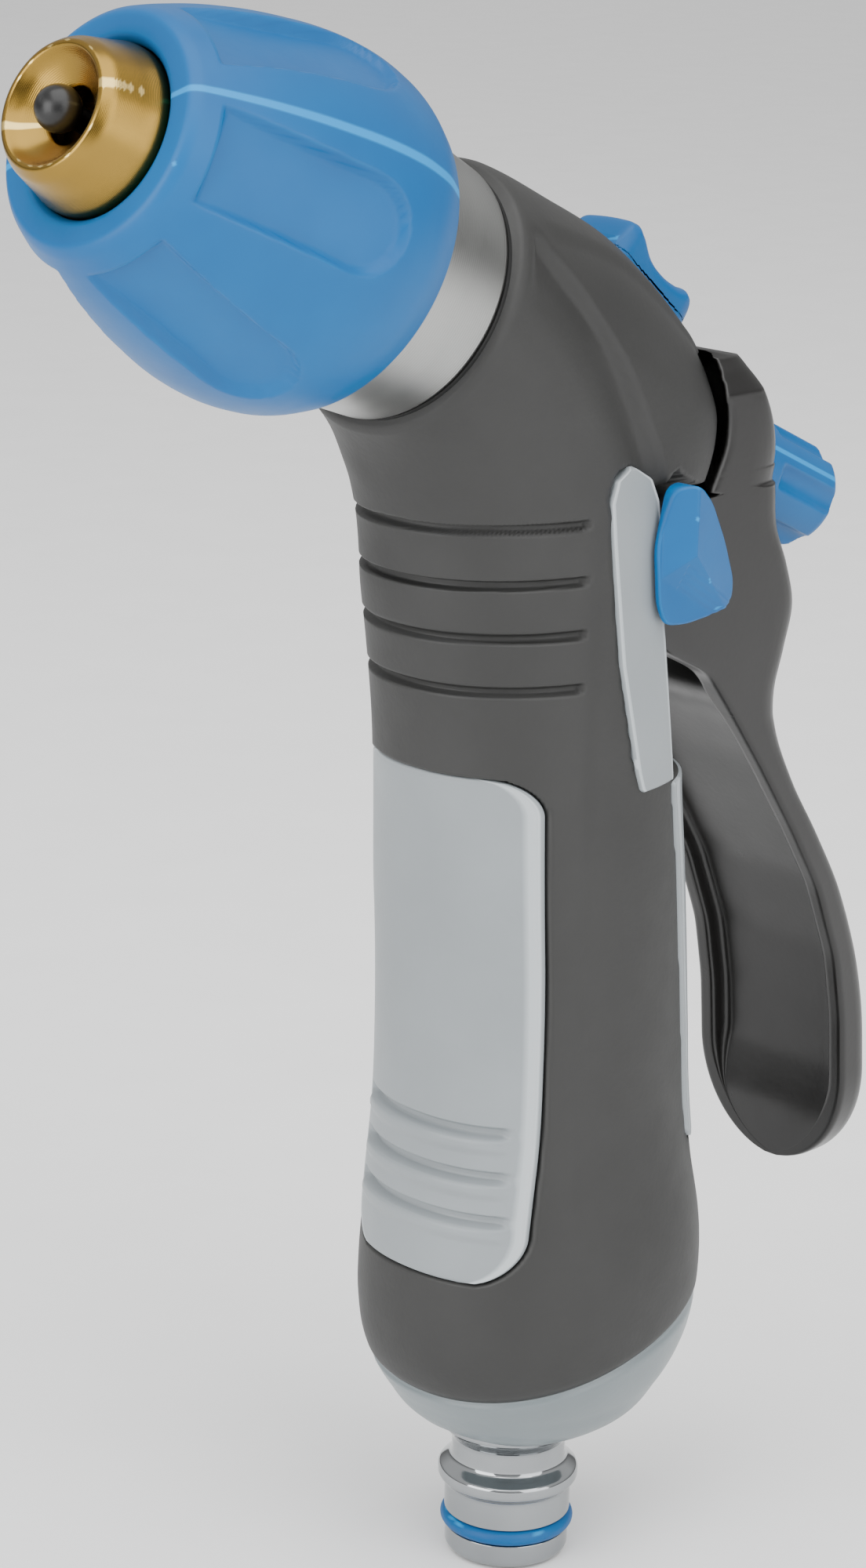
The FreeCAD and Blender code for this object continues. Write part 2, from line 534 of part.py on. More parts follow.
def make_trigger():
    profile = curved_plate([TRIGGER_BACK, [TRIGGER_BACK[-1], TRIGGER_FRONT[0]], TRIGGER_FRONT,
                            TRIGGER_TOP, [TRIGGER_TOP[-1], TRIGGER_BACK[0]]],
                           -TRIGGER_HALF, TRIGGER_HALF)
    # rounded tip and rounded bridge, seen from behind
    tip = Part.makeCylinder(TRIGGER_HALF, 60, V(-70, 0, 0), V(1, 0, 0))
    stretch = FreeCAD.Matrix()
    stretch.scale(V(1, 1, TIP_RISE / TRIGGER_HALF))
    tip = tip.transformGeometry(stretch)
    tip.translate(V(0, 0, TIP_Z + TIP_RISE))
    outline = tip.fuse(block(-70, 0, -TRIGGER_HALF, TRIGGER_HALF, TIP_Z + TIP_RISE, 160))
    lever = profile.common(outline)
    hood = rod(13.0, -60, 0).fuse(rod(60, -60, 0).common(block(0, 60, -20, 20, -60, 0)))
    lever = lever.cut(block(-40, 0, -20, 20, 126, 160).cut(on_barrel(hood)))
    # room for the barrel's bulge
    bulge = smooth_turned([(0.01, -27.0), (5.6, -26.2), (8.9, -22.6), (11.4, -16.0), (13.2, -8.0)],
                          [(0.01, -8.0)])
    lever = lever.cut(on_barrel(bulge))
    # trough facing the handle and the gap between the cheeks
    trough = [(x - 2.6 if z < 100 else x - 2.0, z) for x, z in TRIGGER_FRONT[2:9]]
    hollow = curved_plate([trough, [trough[-1], (-14.0, 104.6)], [(-14.0, 104.6), (0.0, 104.6)],
                           [(0.0, 104.6), (0.0, 46.0)], [(0.0, 46.0), trough[0]]], -9.2, 9.2)
    lever = lever.cut(hollow)
    gap = side_plate([(10, 100), (-12.5, 100), (-15.8, 104.0), (-19.5, 112.0), (-21.5, 120.0),
                      (-21.5, 136.0), (10, 136.0)], -SLOT_HALF, SLOT_HALF)
    lever = lever.cut(gap)
    # flat for the washer and a slot that lets the stem pass as the lever swings
    flat = on_barrel(block(-5.2, 5.2, -5.4, 5.4, STRAP_S - 12, STRAP_S))
    slot = on_barrel(block(-7.4, STEM_R + 0.6, -STEM_R - 0.4, STEM_R + 0.4, -50, -20))
    pad = on_barrel(block(-5.0, 5.0, -5.2, 5.2, STRAP_S, -28.0))
    knob_room = on_barrel(rod(KNOB_R + 0.6, KNOB_S1 - 5, KNOB_S0 + 0.8))
    lever = lever.fuse(pad).cut(flat).cut(knob_room).cut(slot).cut(on_barrel(bulge))
    return lever.cut(cross_rod(BUSH_R, PIVOT_X, PIVOT_Z, -30, 30))


PAD_BACK = [(-31.0, 103.0), (-32.6, 98.6), (-35.9, 91.6), (-40.7, 84.6), (-45.7, 76.6),
            (-49.2, 68.6), (-51.4, 60.6), (-52.4, 52.6)]


def make_pad(trigger):
    front = [(x + 1.9, z) for x, z in PAD_BACK[1:]]
    pad = curved_plate([PAD_BACK, [PAD_BACK[-1], front[-1]], front[::-1], [front[0], PAD_BACK[0]]],
                       -7.2, 7.2)
    return pad, trigger.cut(pad)


# ---- build ---------------------------------------------------------------------------------
def build():
    os.makedirs("parts", exist_ok=True)
    casting = make_casting()
    shell, panel, frame, bezel = make_grip_pieces(casting)
    pad, trigger = make_pad(make_trigger())

    save("body_casting", casting)
    save("grip_shell", shell)
    save("front_panel", panel)
    save("rear_frame", frame)
    save("end_bezel", bezel)
    save("hose_connector", make_hose_connector())
    save("connector_oring", oring(ORING_OUT_R - ORING_CORD_R, ORING_CORD_R, ORING_Z))
    save("connector_washer", ring(SHANK_R, CHANNEL_R + 0.3, SHANK_Z1, WASHER_TOP))
    save("filter_screen", make_filter_screen())

    save("collar_gasket", on_barrel(ring(14.5, BARREL_R + 0.05, COLLAR_S, COLLAR_S + 0.5)))
    save("collar_ring", on_barrel(make_collar()))
    save("thread_sleeve", on_barrel(make_thread_sleeve()))
    save("sleeve_oring", on_barrel(oring(SLEEVE_R - 0.55, 0.5, 31.0)))
    save("nozzle_oring", on_barrel(oring(TUBE_FRONT_R - 0.45, 0.5, 61.0)))
    save("spray_pin", on_barrel(make_spray_pin()))
    save("nozzle_tip", on_barrel(make_nozzle_tip()))
    save("twist_head", on_barrel(make_twist_head()))
    save("head_core", on_barrel(make_head_core()))

    save("valve_seat", on_barrel(ring(CHAMBER_R, SEAT_R, 20.6, CHAMBER_S1)))
    save("valve_disc", on_barrel(ring(6.6, STEM_R, 18.2, 20.4)))
    save("spring_cup", on_barrel(ring(6.8, STEM_R, 16.6, 18.2)))
    save("valve_nut", on_barrel(hexagon(6.0, 20.4, 22.8).cut(rod(STEM_R, 19, 24))))
    save("valve_stem", on_barrel(make_valve_stem()))
    save("return_spring", on_barrel(make_return_spring()))
    save("gland_seal", on_barrel(ring(4.0, STEM_R + RUN, CHAMBER_S0 - 3.5, CHAMBER_S0)))
    gland = rod(5.5, REAR_S, CHAMBER_S0 - 3.5).fuse(hexagon(11.0, REAR_S - 2.4, REAR_S))
    save("gland_nut", on_barrel(gland.cut(rod(STEM_R + RUN, -30, 0)).removeSplitter()))
    save("thrust_washer", on_barrel(ring(4.3, STEM_R, STRAP_S - 1.3, STRAP_S - 0.15)))

    knob = make_flow_knob()
    save("flow_knob", on_barrel(knob))
    save("knob_insert", on_barrel(ring(3.6, STEM_R + RUN, KNOB_S0 - 8.6, KNOB_S0 + 0.4)))

    save("trigger_lever", trigger)
    save("trigger_pad", pad)
    bush = cross_rod(BUSH_R, PIVOT_X, PIVOT_Z, SLOT_HALF, TRIGGER_HALF)
    bush = bush.cut(cross_rod(PIVOT_PIN_R + RUN, PIVOT_X, PIVOT_Z, 0, 30))
    save("trigger_bushes", both_sides(bush))
    pin = cross_rod(PIVOT_PIN_R, PIVOT_X, PIVOT_Z, -EAR_OUT - 0.9, EAR_OUT)
    head = cross_rod(3.0, PIVOT_X, PIVOT_Z, -EAR_OUT - 1.0, -EAR_OUT)
    save("trigger_pin", pin.fuse(head).removeSplitter())
    washer = cross_rod(4.0, PIVOT_X, PIVOT_Z, TRIGGER_HALF + 0.15, EAR_IN)
    washer = washer.cut(cross_rod(PIVOT_PIN_R, PIVOT_X, PIVOT_Z, 0, 30))
    save("pivot_washers", both_sides(washer))

    save("thumb_slider", make_thumb_slider())
    save("slider_plate", make_slider_plate())

    lever = side_plate([(-2.2, 132.6), (-5.0, 133.2), (-8.6, 131.6), (-12.2, 126.6), (-13.6, 121.6),
                        (-12.6, 118.0), (-9.0, 116.6), (-4.0, 117.0), (-1.4, 119.2), (-0.4, 125.0)],
                       EAR_OUT + 1.1, EAR_OUT + 4.6)
    lever = lever.cut(cross_rod(LOCK_SHAFT_R, LOCK_X, LOCK_Z, 0, EAR_OUT + 3.4))
    save("lock_lever", lever)
    save("lock_shaft", cross_rod(LOCK_SHAFT_R, LOCK_X, LOCK_Z, EAR_IN, EAR_OUT + 3.4))


build()
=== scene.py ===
# %% [markdown]
# # A garden spray gun, piece by piece
# The engineering model gives every solid part, its size and how it moves. This file gives the looks: each
# visible moulding is drawn again as a fine smooth surface, and every part gets its own finish.
# Lengths are in millimetres in the formulas and are turned into metres when a mesh is made.

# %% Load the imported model
import json
import bpy
import numpy as np
from mathutils import Matrix, Vector

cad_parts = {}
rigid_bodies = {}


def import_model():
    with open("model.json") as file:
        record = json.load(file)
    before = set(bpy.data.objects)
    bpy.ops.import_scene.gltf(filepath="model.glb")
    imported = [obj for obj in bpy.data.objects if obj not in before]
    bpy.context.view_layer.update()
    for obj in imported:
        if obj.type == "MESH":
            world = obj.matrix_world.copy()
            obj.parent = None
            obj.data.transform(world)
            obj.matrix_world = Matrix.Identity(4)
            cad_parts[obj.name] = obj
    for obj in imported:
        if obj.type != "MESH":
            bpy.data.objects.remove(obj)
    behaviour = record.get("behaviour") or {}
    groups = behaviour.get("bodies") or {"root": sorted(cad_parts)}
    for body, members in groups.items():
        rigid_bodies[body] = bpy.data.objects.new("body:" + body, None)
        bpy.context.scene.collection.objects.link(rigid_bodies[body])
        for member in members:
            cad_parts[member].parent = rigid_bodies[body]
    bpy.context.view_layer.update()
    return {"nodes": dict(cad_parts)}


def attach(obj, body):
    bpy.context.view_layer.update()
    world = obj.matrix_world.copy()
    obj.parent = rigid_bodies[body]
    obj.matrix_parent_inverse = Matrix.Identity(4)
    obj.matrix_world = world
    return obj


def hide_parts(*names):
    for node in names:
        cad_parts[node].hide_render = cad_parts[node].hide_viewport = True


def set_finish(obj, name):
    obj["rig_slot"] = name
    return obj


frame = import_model()
MM = 0.001
nodes = frame["nodes"]
print("parts in the model:", len(nodes))

# %% [markdown]
# ## Tools for making surfaces
# A surface is a grid of points: rows run one way, columns the other. One helper joins the grid into faces,
# closing it round in either direction, and can shut an open end with a fan about its middle. Because the
# point arrays are worked out whole, a change of formula changes the shape everywhere at once.

# %% Grid to mesh
def add_mesh(name, points, faces):
    """A mesh object from points in millimetres and a list of faces given as rows of indices."""
    mesh = bpy.data.meshes.new(name)
    mesh.from_pydata((points * MM).tolist(), [], faces)
    mesh.validate()
    mesh.polygons.foreach_set("use_smooth", np.ones(len(mesh.polygons), dtype=bool))
    piece = bpy.data.objects.new(name, mesh)
    bpy.context.scene.collection.objects.link(piece)
    return piece


def grid_faces(rows, cols, wrap_rows):
    """Four-sided faces between neighbouring rows and columns; the columns always close round."""
    r = np.arange(rows if wrap_rows else rows - 1)
    r, c = np.meshgrid(r, np.arange(cols), indexing="ij")
    r2, c2 = (r + 1) % rows, (c + 1) % cols
    quads = np.stack([r * cols + c, r * cols + c2, r2 * cols + c2, r2 * cols + c], axis=-1)
    return quads.reshape(-1, 4).tolist()


def face_outward(piece):
    """Turn the faces round if the mesh's signed volume is negative."""
    mesh = piece.data
    mesh.calc_loop_triangles()
    tri = np.empty(len(mesh.loop_triangles) * 3, dtype=np.int32)
    mesh.loop_triangles.foreach_get("vertices", tri)
    co = np.empty(len(mesh.vertices) * 3)
    mesh.vertices.foreach_get("co", co)
    a, b, c = co.reshape(-1, 3)[tri.reshape(-1, 3)].transpose(1, 0, 2)
    if np.einsum("ij,ij->i", a, np.cross(b, c)).sum() < 0:
        mesh.flip_normals()


def tube_mesh(name, grid, wrap_rows=False):
    """A closed skin from a grid whose columns go round; open ends are shut with a fan of triangles."""
    rows, cols, _ = grid.shape
    points = grid.reshape(-1, 3)
    faces = grid_faces(rows, cols, wrap_rows)
    if not wrap_rows:
        ends = np.stack([grid[0].mean(axis=0), grid[-1].mean(axis=0)])
        points = np.concatenate([points, ends])
        c = np.arange(cols)
        c2 = (c + 1) % cols
        first = np.full(cols, rows * cols)
        faces += np.stack([c2, c, first], axis=1).tolist()
        last = (rows - 1) * cols
        faces += np.stack([last + c, last + c2, first + 1], axis=1).tolist()
    piece = add_mesh(name, points, faces)
    face_outward(piece)
    return piece


def smooth_path(knots, values, at):
    """A smooth curve through given values: cubic pieces whose slopes are those of the neighbouring knots."""
    knots, values = np.asarray(knots, float), np.asarray(values, float)
    if values.ndim == 1:
        values = values[:, None]
    step = np.diff(knots)[:, None]
    chord = np.diff(values, axis=0) / step
    slope = np.zeros_like(values)
    slope[0], slope[-1] = chord[0], chord[-1]
    slope[1:-1] = (chord[:-1] * step[1:] + chord[1:] * step[:-1]) / (step[1:] + step[:-1])
    i = np.clip(np.searchsorted(knots, at, side="right") - 1, 0, len(knots) - 2)
    h = (knots[i + 1] - knots[i])[:, None]
    t = ((at - knots[i])[:, None]) / h
    out = ((2 * t**3 - 3 * t**2 + 1) * values[i] + (t**3 - 2 * t**2 + t) * h * slope[i]
           + (3 * t**2 - 2 * t**3) * values[i + 1] + (t**3 - t**2) * h * slope[i + 1])
    return out[:, 0] if out.shape[1] == 1 else out


def ease(x):
    """0 below 0, 1 above 1, and a smooth rise between."""
    x = np.clip(x, 0, 1)
    return x * x * (3 - 2 * x)


def near(distance, width, edge):
    """1 within a width of a line and 0 beyond it, with a soft edge."""
    return 1 - ease((np.abs(distance) - width) / edge)

# %% [markdown]
# ## The barrel's own axis
# The barrel leans 25 degrees above level and crosses the handle's axis near the top. Turned parts such as the
# spray head are easiest to draw round a plain vertical axis and then lay on the barrel.

# %% Barrel frame
TILT = np.radians(25.0)
BARREL_Z = 144.3
AXIS = np.array([np.cos(TILT), 0, np.sin(TILT)])
UP = np.array([-np.sin(TILT), 0, np.cos(TILT)])
SIDE = np.array([0, 1.0, 0])
HUB = np.array([0, 0, BARREL_Z])


def on_barrel(s, h, y):
    """Points at s along the barrel, h above its axis and y to the left."""
    return HUB + s[..., None] * AXIS + h[..., None] * UP + y[..., None] * SIDE


def along_barrel(points):
    """How far along the barrel, above its axis and to the left a point lies."""
    d = points - HUB
    return d @ AXIS, d @ UP, d[..., 1]


def rounded_profile(corners, per_mm):
    """A profile of (radius, along, corner radius) corners as close points, each corner softened by an arc.

    A corner takes no more than 0.45 of either neighbouring side, so two arcs never meet."""
    out = []
    count = len(corners)
    for i, (r, z, soft) in enumerate(corners):
        here = np.array([r, z], float)
        back = np.array(corners[i - 1][:2], float) - here
        ahead = np.array(corners[(i + 1) % count][:2], float) - here
        if soft <= 0:
            out.append(here[None])
            continue
        reach = min(soft, 0.45 * np.linalg.norm(back), 0.45 * np.linalg.norm(ahead))
        a = here + back / np.linalg.norm(back) * reach
        b = here + ahead / np.linalg.norm(ahead) * reach
        t = np.linspace(0, 1, 7)[:, None]
        out.append((1 - t) ** 2 * a + 2 * t * (1 - t) * here + t**2 * b)
    ring = np.concatenate(out)
    ring = np.concatenate([ring, ring[:1]])
    run = np.linalg.norm(np.diff(ring, axis=0), axis=1)
    filled = [np.linspace(ring[i], ring[i + 1], max(int(run[i] * per_mm), 1), endpoint=False)
              for i in range(len(run))]
    return np.concatenate(filled)


def turned(name, corners, cols, per_mm, shape=None, upright=False):
    """A lathe-turned piece: a closed profile carried round an axis. shape may press flutes into it."""
    profile = rounded_profile(corners, per_mm)
    turn = np.linspace(0, 2 * np.pi, cols, endpoint=False)
    r = profile[:, :1] + 0 * turn
    z = profile[:, 1:] + 0 * turn
    angle = turn[None, :] + 0 * r
    if shape is not None:
        r, z = shape(r, z, angle)
    if upright:
        grid = np.stack([r * np.cos(angle), r * np.sin(angle), z], axis=-1)
    else:
        grid = on_barrel(z, r * np.cos(angle), r * np.sin(angle))
    return tube_mesh(name, grid, wrap_rows=True)

# %% [markdown]
# ## The grip's form
# The handle is a stack of ovals. At the top they fan out about the crook of the finger until they face along
# the barrel, which bends the stack over and leaves a bulge at the back for the valve gland. Every oval is a
# squared ellipse with its own reach forward and back, and a smooth curve joins the values between them.

# %% Oval stack
OVAL_POWER = 2.15
HANDLE = np.array([
    (16.5, -1.9, 9.5, 9.5, 9.1), (18.5, -2.0, 13.2, 13.2, 12.4), (22.6, -2.1, 16.9, 16.9, 15.5),
    (27.8, -2.2, 19.6, 19.6, 17.8), (33.0, -2.4, 20.6, 20.6, 18.7), (38.0, -2.6, 20.8, 20.8, 18.8),
    (43.0, -2.6, 20.5, 20.5, 18.5), (49.8, -2.3, 19.8, 19.8, 17.8), (57.7, -2.1, 19.1, 19.1, 17.1),
    (67.4, -1.8, 18.7, 18.7, 16.8), (77.0, -1.3, 18.5, 18.5, 16.6), (86.5, -0.6, 18.4, 18.3, 16.5),
    (95.8, 0.0, 18.5, 17.9, 16.3), (104.6, 0.0, 19.3, 17.4, 16.1), (113.7, 0.0, 20.8, 16.8, 16.0)])
BEND = np.array([
    (0.0, 15.0, 53.3, 16.0), (7.6, 15.0, 57.4, 16.0), (13.0, 15.1, 62.0, 15.9),
    (18.0, 15.3, 63.4, 15.8), (22.0, 15.5, 62.6, 15.7), (27.0, 15.8, 60.6, 15.6),
    (34.0, 16.4, 58.2, 15.5), (42.0, 17.2, 55.9, 15.5), (52.0, 18.7, 53.1, 15.5),
    (65.0, 20.5, 51.4, 15.5)])
BEND_Z, BEND_MID, COLLAR_S = 122.0, 36.6, 24.4
CROOK_H = (BEND_Z - BARREL_Z - COLLAR_S * np.sin(TILT)) / np.cos(TILT)
CROOK_X = COLLAR_S * np.cos(TILT) - CROOK_H * np.sin(TILT)
MEAN_REACH = 30.0
share = BEND[:, 0] / BEND[-1, 0]
middles = CROOK_X + (BEND_MID - CROOK_X) * share
form_knots = np.concatenate([HANDLE[:, 0], BEND_Z + np.radians(BEND[:, 0]) * MEAN_REACH])
form_values = np.concatenate([
    np.stack([HANDLE[:, 0], 0 * HANDLE[:, 0], CROOK_X - HANDLE[:, 1] - HANDLE[:, 2],
              CROOK_X - HANDLE[:, 1], CROOK_X - HANDLE[:, 1] + HANDLE[:, 3], HANDLE[:, 4]], axis=1),
    np.stack([BEND_Z + 0 * middles, np.radians(BEND[:, 0]), BEND[:, 1], middles, BEND[:, 2],
              BEND[:, 3]], axis=1)])

print("form stations from", form_knots[0], "to", round(form_knots[-1], 1))


def form_points(stations, turns):
    """Points on the form for whole grids of stations and turn angles, with the middle of each oval."""
    flat = smooth_path(form_knots, form_values, stations.ravel())
    base_z, angle, close, middle, far, half = flat.reshape(stations.shape + (6,)).transpose(2, 0, 1)
    c, s = np.cos(turns), np.sin(turns)
    depth = np.where(c > 0, middle - close, far - middle)
    reach = middle - np.sign(c) * np.abs(c) ** (2 / OVAL_POWER) * depth
    side = np.sign(s) * np.abs(s) ** (2 / OVAL_POWER) * half
    out = np.stack([-np.cos(angle), 0 * angle, np.sin(angle)], axis=-1)
    start = np.stack([CROOK_X + 0 * base_z, 0 * base_z, base_z], axis=-1)
    core = start + out * middle[..., None]
    return start + out * reach[..., None] + SIDE * side[..., None], core


def form_side(x, z):
    """The form's half width at a place seen from the side: the oval solved for its sideways reach."""
    rise = np.maximum(z - BEND_Z, 0)
    angle = np.arctan2(rise, CROOK_X - x)
    reach = np.hypot(rise, CROOK_X - x)
    station = np.where(z > BEND_Z, BEND_Z + angle * MEAN_REACH, z)
    flat = smooth_path(form_knots, form_values, station.ravel()).reshape(station.shape + (6,))
    close, middle, far, half = [flat[..., i] for i in (2, 3, 4, 5)]
    depth = np.where(reach < middle, middle - close, far - middle)
    part = np.clip(np.abs(reach - middle) / depth, 0, 0.999)
    return half * (1 - part**OVAL_POWER) ** (1 / OVAL_POWER)


def form_front(y, z):
    """How far forward the handle's surface stands at a place seen from the front."""
    flat = smooth_path(form_knots, form_values, z.ravel()).reshape(z.shape + (6,))
    close, middle, half = [flat[..., i] for i in (2, 3, 5)]
    part = np.clip(np.abs(y) / half, 0, 0.999)
    return CROOK_X - middle + (middle - close) * (1 - part**OVAL_POWER) ** (1 / OVAL_POWER)


def outline_distance(x, z, outline):
    """Distance from places to a closed outline, negative inside it."""
    a = np.asarray(outline, float)
    b = np.roll(a, -1, axis=0)
    best = np.full(x.shape, 1e9)
    inside = np.zeros(x.shape, bool)
    for (ax, az), (bx, bz) in zip(a, b):
        ex, ez = bx - ax, bz - az
        t = np.clip(((x - ax) * ex + (z - az) * ez) / (ex * ex + ez * ez), 0, 1)
        best = np.minimum(best, np.hypot(x - ax - t * ex, z - az - t * ez))
        crosses = (az > z) != (bz > z)
        with np.errstate(divide="ignore", invalid="ignore"):
            inside ^= crosses & (x < ax + (z - az) * ex / (ez if ez else 1e-12))
    return np.where(inside, -best, best)

# %% [markdown]
# ## The grip
# The grip is a soft rubber moulding. Its openings are pressed into the one surface: a seat for the front
# panel, a seat for the light ears and spine, a deep mouth at the back where the trigger swings, finger
# grooves and a flat for the thumb slide. Rows stand closer together where there is more to show.

# %% Where the grip's features lie
EAR_FRONT = [(-1.4, 99.0), (0.2, 101.0), (2.9, 113.0), (4.9, 126.6), (5.6, 133.0), (4.6, 135.3),
             (2.2, 135.7), (-0.6, 134.8)]
EAR_BACK = [(-2.6, 132.0), (-3.6, 124.0), (-4.8, 116.2), (-7.7, 101.0), (-8.3, 97.6)]
EAR_FOOT = (-6.4, 98.0)
SPINE_EDGE = [(-8.3, 97.4), (-9.9, 87.7), (-12.0, 68.2), (-13.4, 54.0), (-15.0, 52.5)]
MOUTH_TOP = [(-5.5, 133.8), (-9.6, 131.7), (-14.4, 130.9), (-19.0, 131.4), (-30.0, 133.0)]
OPEN_AIR_X = -60  # behind the whole handle, where an opening's outline may close
PANEL_Z = (41.0, 101.0)
PANEL_HALF = 13.2
PANEL_CORNERS = (6.0, 4.2)  # corner radius at the panel's lower and upper end
PANEL_GAP = 0.22
GROOVES = (129.6, 123.4, 117.4, 111.3)
SEAM_Z, SEAM_SLOPE = 29.2, 0.25
SLIDE_TURN = TILT + np.radians(15.0)
SLIDE_HOME = HUB - 8.5 * AXIS + 12.0 * UP
SLIDE_X = np.array([np.cos(SLIDE_TURN), 0, np.sin(SLIDE_TURN)])
SLIDE_UP = np.array([-np.sin(SLIDE_TURN), 0, np.cos(SLIDE_TURN)])


def panel_half_width(z, grow=0.0):
    """The front panel's half width at a height: straight sides with a round corner at each end."""
    low, high = PANEL_Z[0] - grow, PANEL_Z[1] + grow
    full = PANEL_HALF + grow
    ends = []
    for distance, radius in zip((z - low, high - z), PANEL_CORNERS):
        corner = radius + grow
        d = np.clip(distance, 0, corner)
        ends.append(full - corner + np.sqrt(np.maximum(corner**2 - (corner - d) ** 2, 0)))
    return np.where((z < low) | (z > high), 0, np.minimum(ends[0], ends[1]))


def seam_height(turns, drop):
    """The height of the sloping seam, less a drop. It depends on how far forward the form stands there, which
    depends on the height again, so it is worked out over and over until it settles."""
    z = np.full(turns.shape, SEAM_Z)
    for _ in range(12):
        points, _core = form_points(z[None], turns[None])
        z = SEAM_Z - SEAM_SLOPE * points[0, :, 0] - drop
    return z


def slide_frame(points):
    """How far along, across and above the thumb slide's flat a point lies."""
    d = points - SLIDE_HOME
    return d @ SLIDE_X, d[..., 1], d @ SLIDE_UP


# %% [markdown]
# ## Pressing the features in
# A depth is added up for every point of the grip, and the point is moved towards the middle of its oval by
# that much. The flat and the stem's funnel come last and move the points along their own directions.

# %% Press the features into the grip
MOUTH_CORE_R = 8.45
FLAT_BACK, FLAT_AHEAD, FLAT_HALF, FLAT_DEPTH = 8.4, 13.6, 5.2, 0.4
STEM_HOLE_R, STEM_HOLE_S = 3.1, -17.6


def grip_surface():
    """The grip's points: 400 rows up the form, 236 round it, with every opening pressed in."""
    cols = 236
    turns = np.linspace(0, 2 * np.pi, cols, endpoint=False)
    top = form_knots[-1]
    fine = np.linspace(27.0, top, 2000)
    weight = 1.0 + 1.2 * ((fine > 94) & (fine < 138)) + 1.0 * (fine < 46) * (fine > 37)
    run = np.concatenate([[0], np.cumsum(0.5 * (weight[1:] + weight[:-1]))])
    rows = np.interp(np.linspace(0, run[-1], 400), run, fine)
    seam = seam_height(turns, -0.12)
    lift = 1 - ease((rows - rows[0]) / 16.0)
    stations = rows[:, None] + lift[:, None] * (seam[None] - rows[0])
    grid, core = form_points(stations, turns[None] + 0 * stations)
    ray = grid - core
    radius = np.linalg.norm(ray, axis=-1)
    ray = ray / radius[..., None]
    x, y, z = grid[..., 0], grid[..., 1], grid[..., 2]
    facing = np.degrees(np.arctan2(np.abs(y), x + 0.5))
    depth = np.zeros_like(x)

    # soft edge that runs down each side of the handle, and the crown over the barrel
    depth += 0.35 * ease((facing - 60) / 9) * ease((z - 40) / 12) * (1 - ease((z - 118) / 14))
    s, h, _ = along_barrel(grid)
    crown = 8.4 + 0.16 * s
    depth += 0.55 * ease((np.abs(y) - crown) / 1.6) * ease((h - 1) / 5) * (1 - ease((s - 17) / 5))

    # crease from the collar's top down to the bulge, with the side below it pressed in a little
    crease_h = 9.6 + 0.30 * (s - 20) - 0.012 * (s - 20) ** 2
    crease = ease((crease_h - h) / 1.8) * (1 - ease((crease_h - h - 2.5) / 7)) * ease((s + 22) / 9)
    depth += 1.25 * crease * (1 - ease((s - 20) / 3)) * ease((np.abs(y) - 5) / 4) * (x < 30)

    # finger grooves: a narrow channel with a soft lower lip
    for groove in GROOVES:
        ends = 1 - ease((facing - 58.5) / 2.5)
        channel, lip = near(z - groove, 0.3, 0.4), near(z - groove + 1.2, 0.2, 0.8)
        depth += ends * (z < 136) * (1.0 * channel - 0.28 * lip)

    # seats for the panel, the ears and the spine
    half = panel_half_width(z, PANEL_GAP)
    seat = np.minimum(half - np.abs(y),
                      np.minimum(z - PANEL_Z[0] + PANEL_GAP, PANEL_Z[1] + PANEL_GAP - z))
    depth += 1.7 * ease((seat + 0.1) / 0.6) * (x > 0)
    ears = outline_distance(x, z, EAR_FRONT + EAR_BACK + [EAR_FOOT])
    depth = np.maximum(depth, 2.6 * ease(-(ears + 0.02) / 1.2))
    spine = outline_distance(x, z, [(OPEN_AIR_X, 97.6)] + SPINE_EDGE + [(OPEN_AIR_X, 52.5)])
    depth = np.maximum(depth, 1.8 * ease(-(spine - 0.22) / 0.8))
    mouth = outline_distance(x, z, EAR_BACK[::-1] + MOUTH_TOP + [(OPEN_AIR_X, 133.0), (OPEN_AIR_X, 97.4)])
    depth = np.maximum(depth, (radius - MOUTH_CORE_R) * ease(-mouth / 0.5))

    # rim at the collar and at the bezel
    depth += 0.5 * (1 - ease((top - stations) / 0.9)) + 0.45 * (1 - ease((stations - seam[None]) / 0.8))
    grid = grid - ray * depth[..., None]

    # flat for the thumb slide
    sx, sy, sz = slide_frame(grid)
    flat = ease((FLAT_BACK + sx) / 0.5) * ease((FLAT_AHEAD - sx) / 0.5) * ease((FLAT_HALF - np.abs(sy)) / 0.5)
    flat = flat * (sz > -FLAT_DEPTH)
    grid = grid - SLIDE_UP * (flat * (sz + FLAT_DEPTH))[..., None]

    # funnel for the valve stem in the middle of the bulge
    s, h, side = along_barrel(grid)
    hole = (s < -10) * (1 - ease((np.hypot(h, side) - STEM_HOLE_R) / 0.5))
    grid = grid + AXIS * (hole * np.maximum(STEM_HOLE_S - s, 0))[..., None]
    return grid

grip = tube_mesh("grip_skin", grip_surface())
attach(grip, "handle")
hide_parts("grip_shell")
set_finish(grip, "grip_rubber")
print("grip faces", len(grip.data.polygons))

# %% [markdown]
# ## Hard mouldings let into the grip
# The front panel, the ears and the spine are hard plastic. Each is a strip: at every height a closed outline
# goes across the outer face, round the edge and back along the inside, so edges are truly rounded.

# %% A strip let into the form
def strip_loop(thick, soft, face=40):
    """Across (-1 to 1), inset from the edge and height below the face, for one closed outline."""
    turn = np.linspace(0, np.pi / 2, 6)
    flat = np.linspace(-1, 1, face)
    inside = flat[::-1][::3]
    across = np.concatenate([flat, np.ones(6), [1.0, 1.0], inside, [-1.0, -1.0], -np.ones(6)])
    count = len(inside)
    edge = np.concatenate([np.full(face, soft), soft * (1 - np.sin(turn)), [0.0, 0.0],
                           np.full(count, soft), [0.0, 0.0], soft * (1 - np.sin(turn[::-1]))])
    below = np.concatenate([np.zeros(face), soft * (1 - np.cos(turn)), [thick * 0.6, thick - 0.1],
                            np.full(count, thick), [thick - 0.1, thick * 0.6],
                            soft * (1 - np.cos(turn[::-1]))])
    return across, edge, below


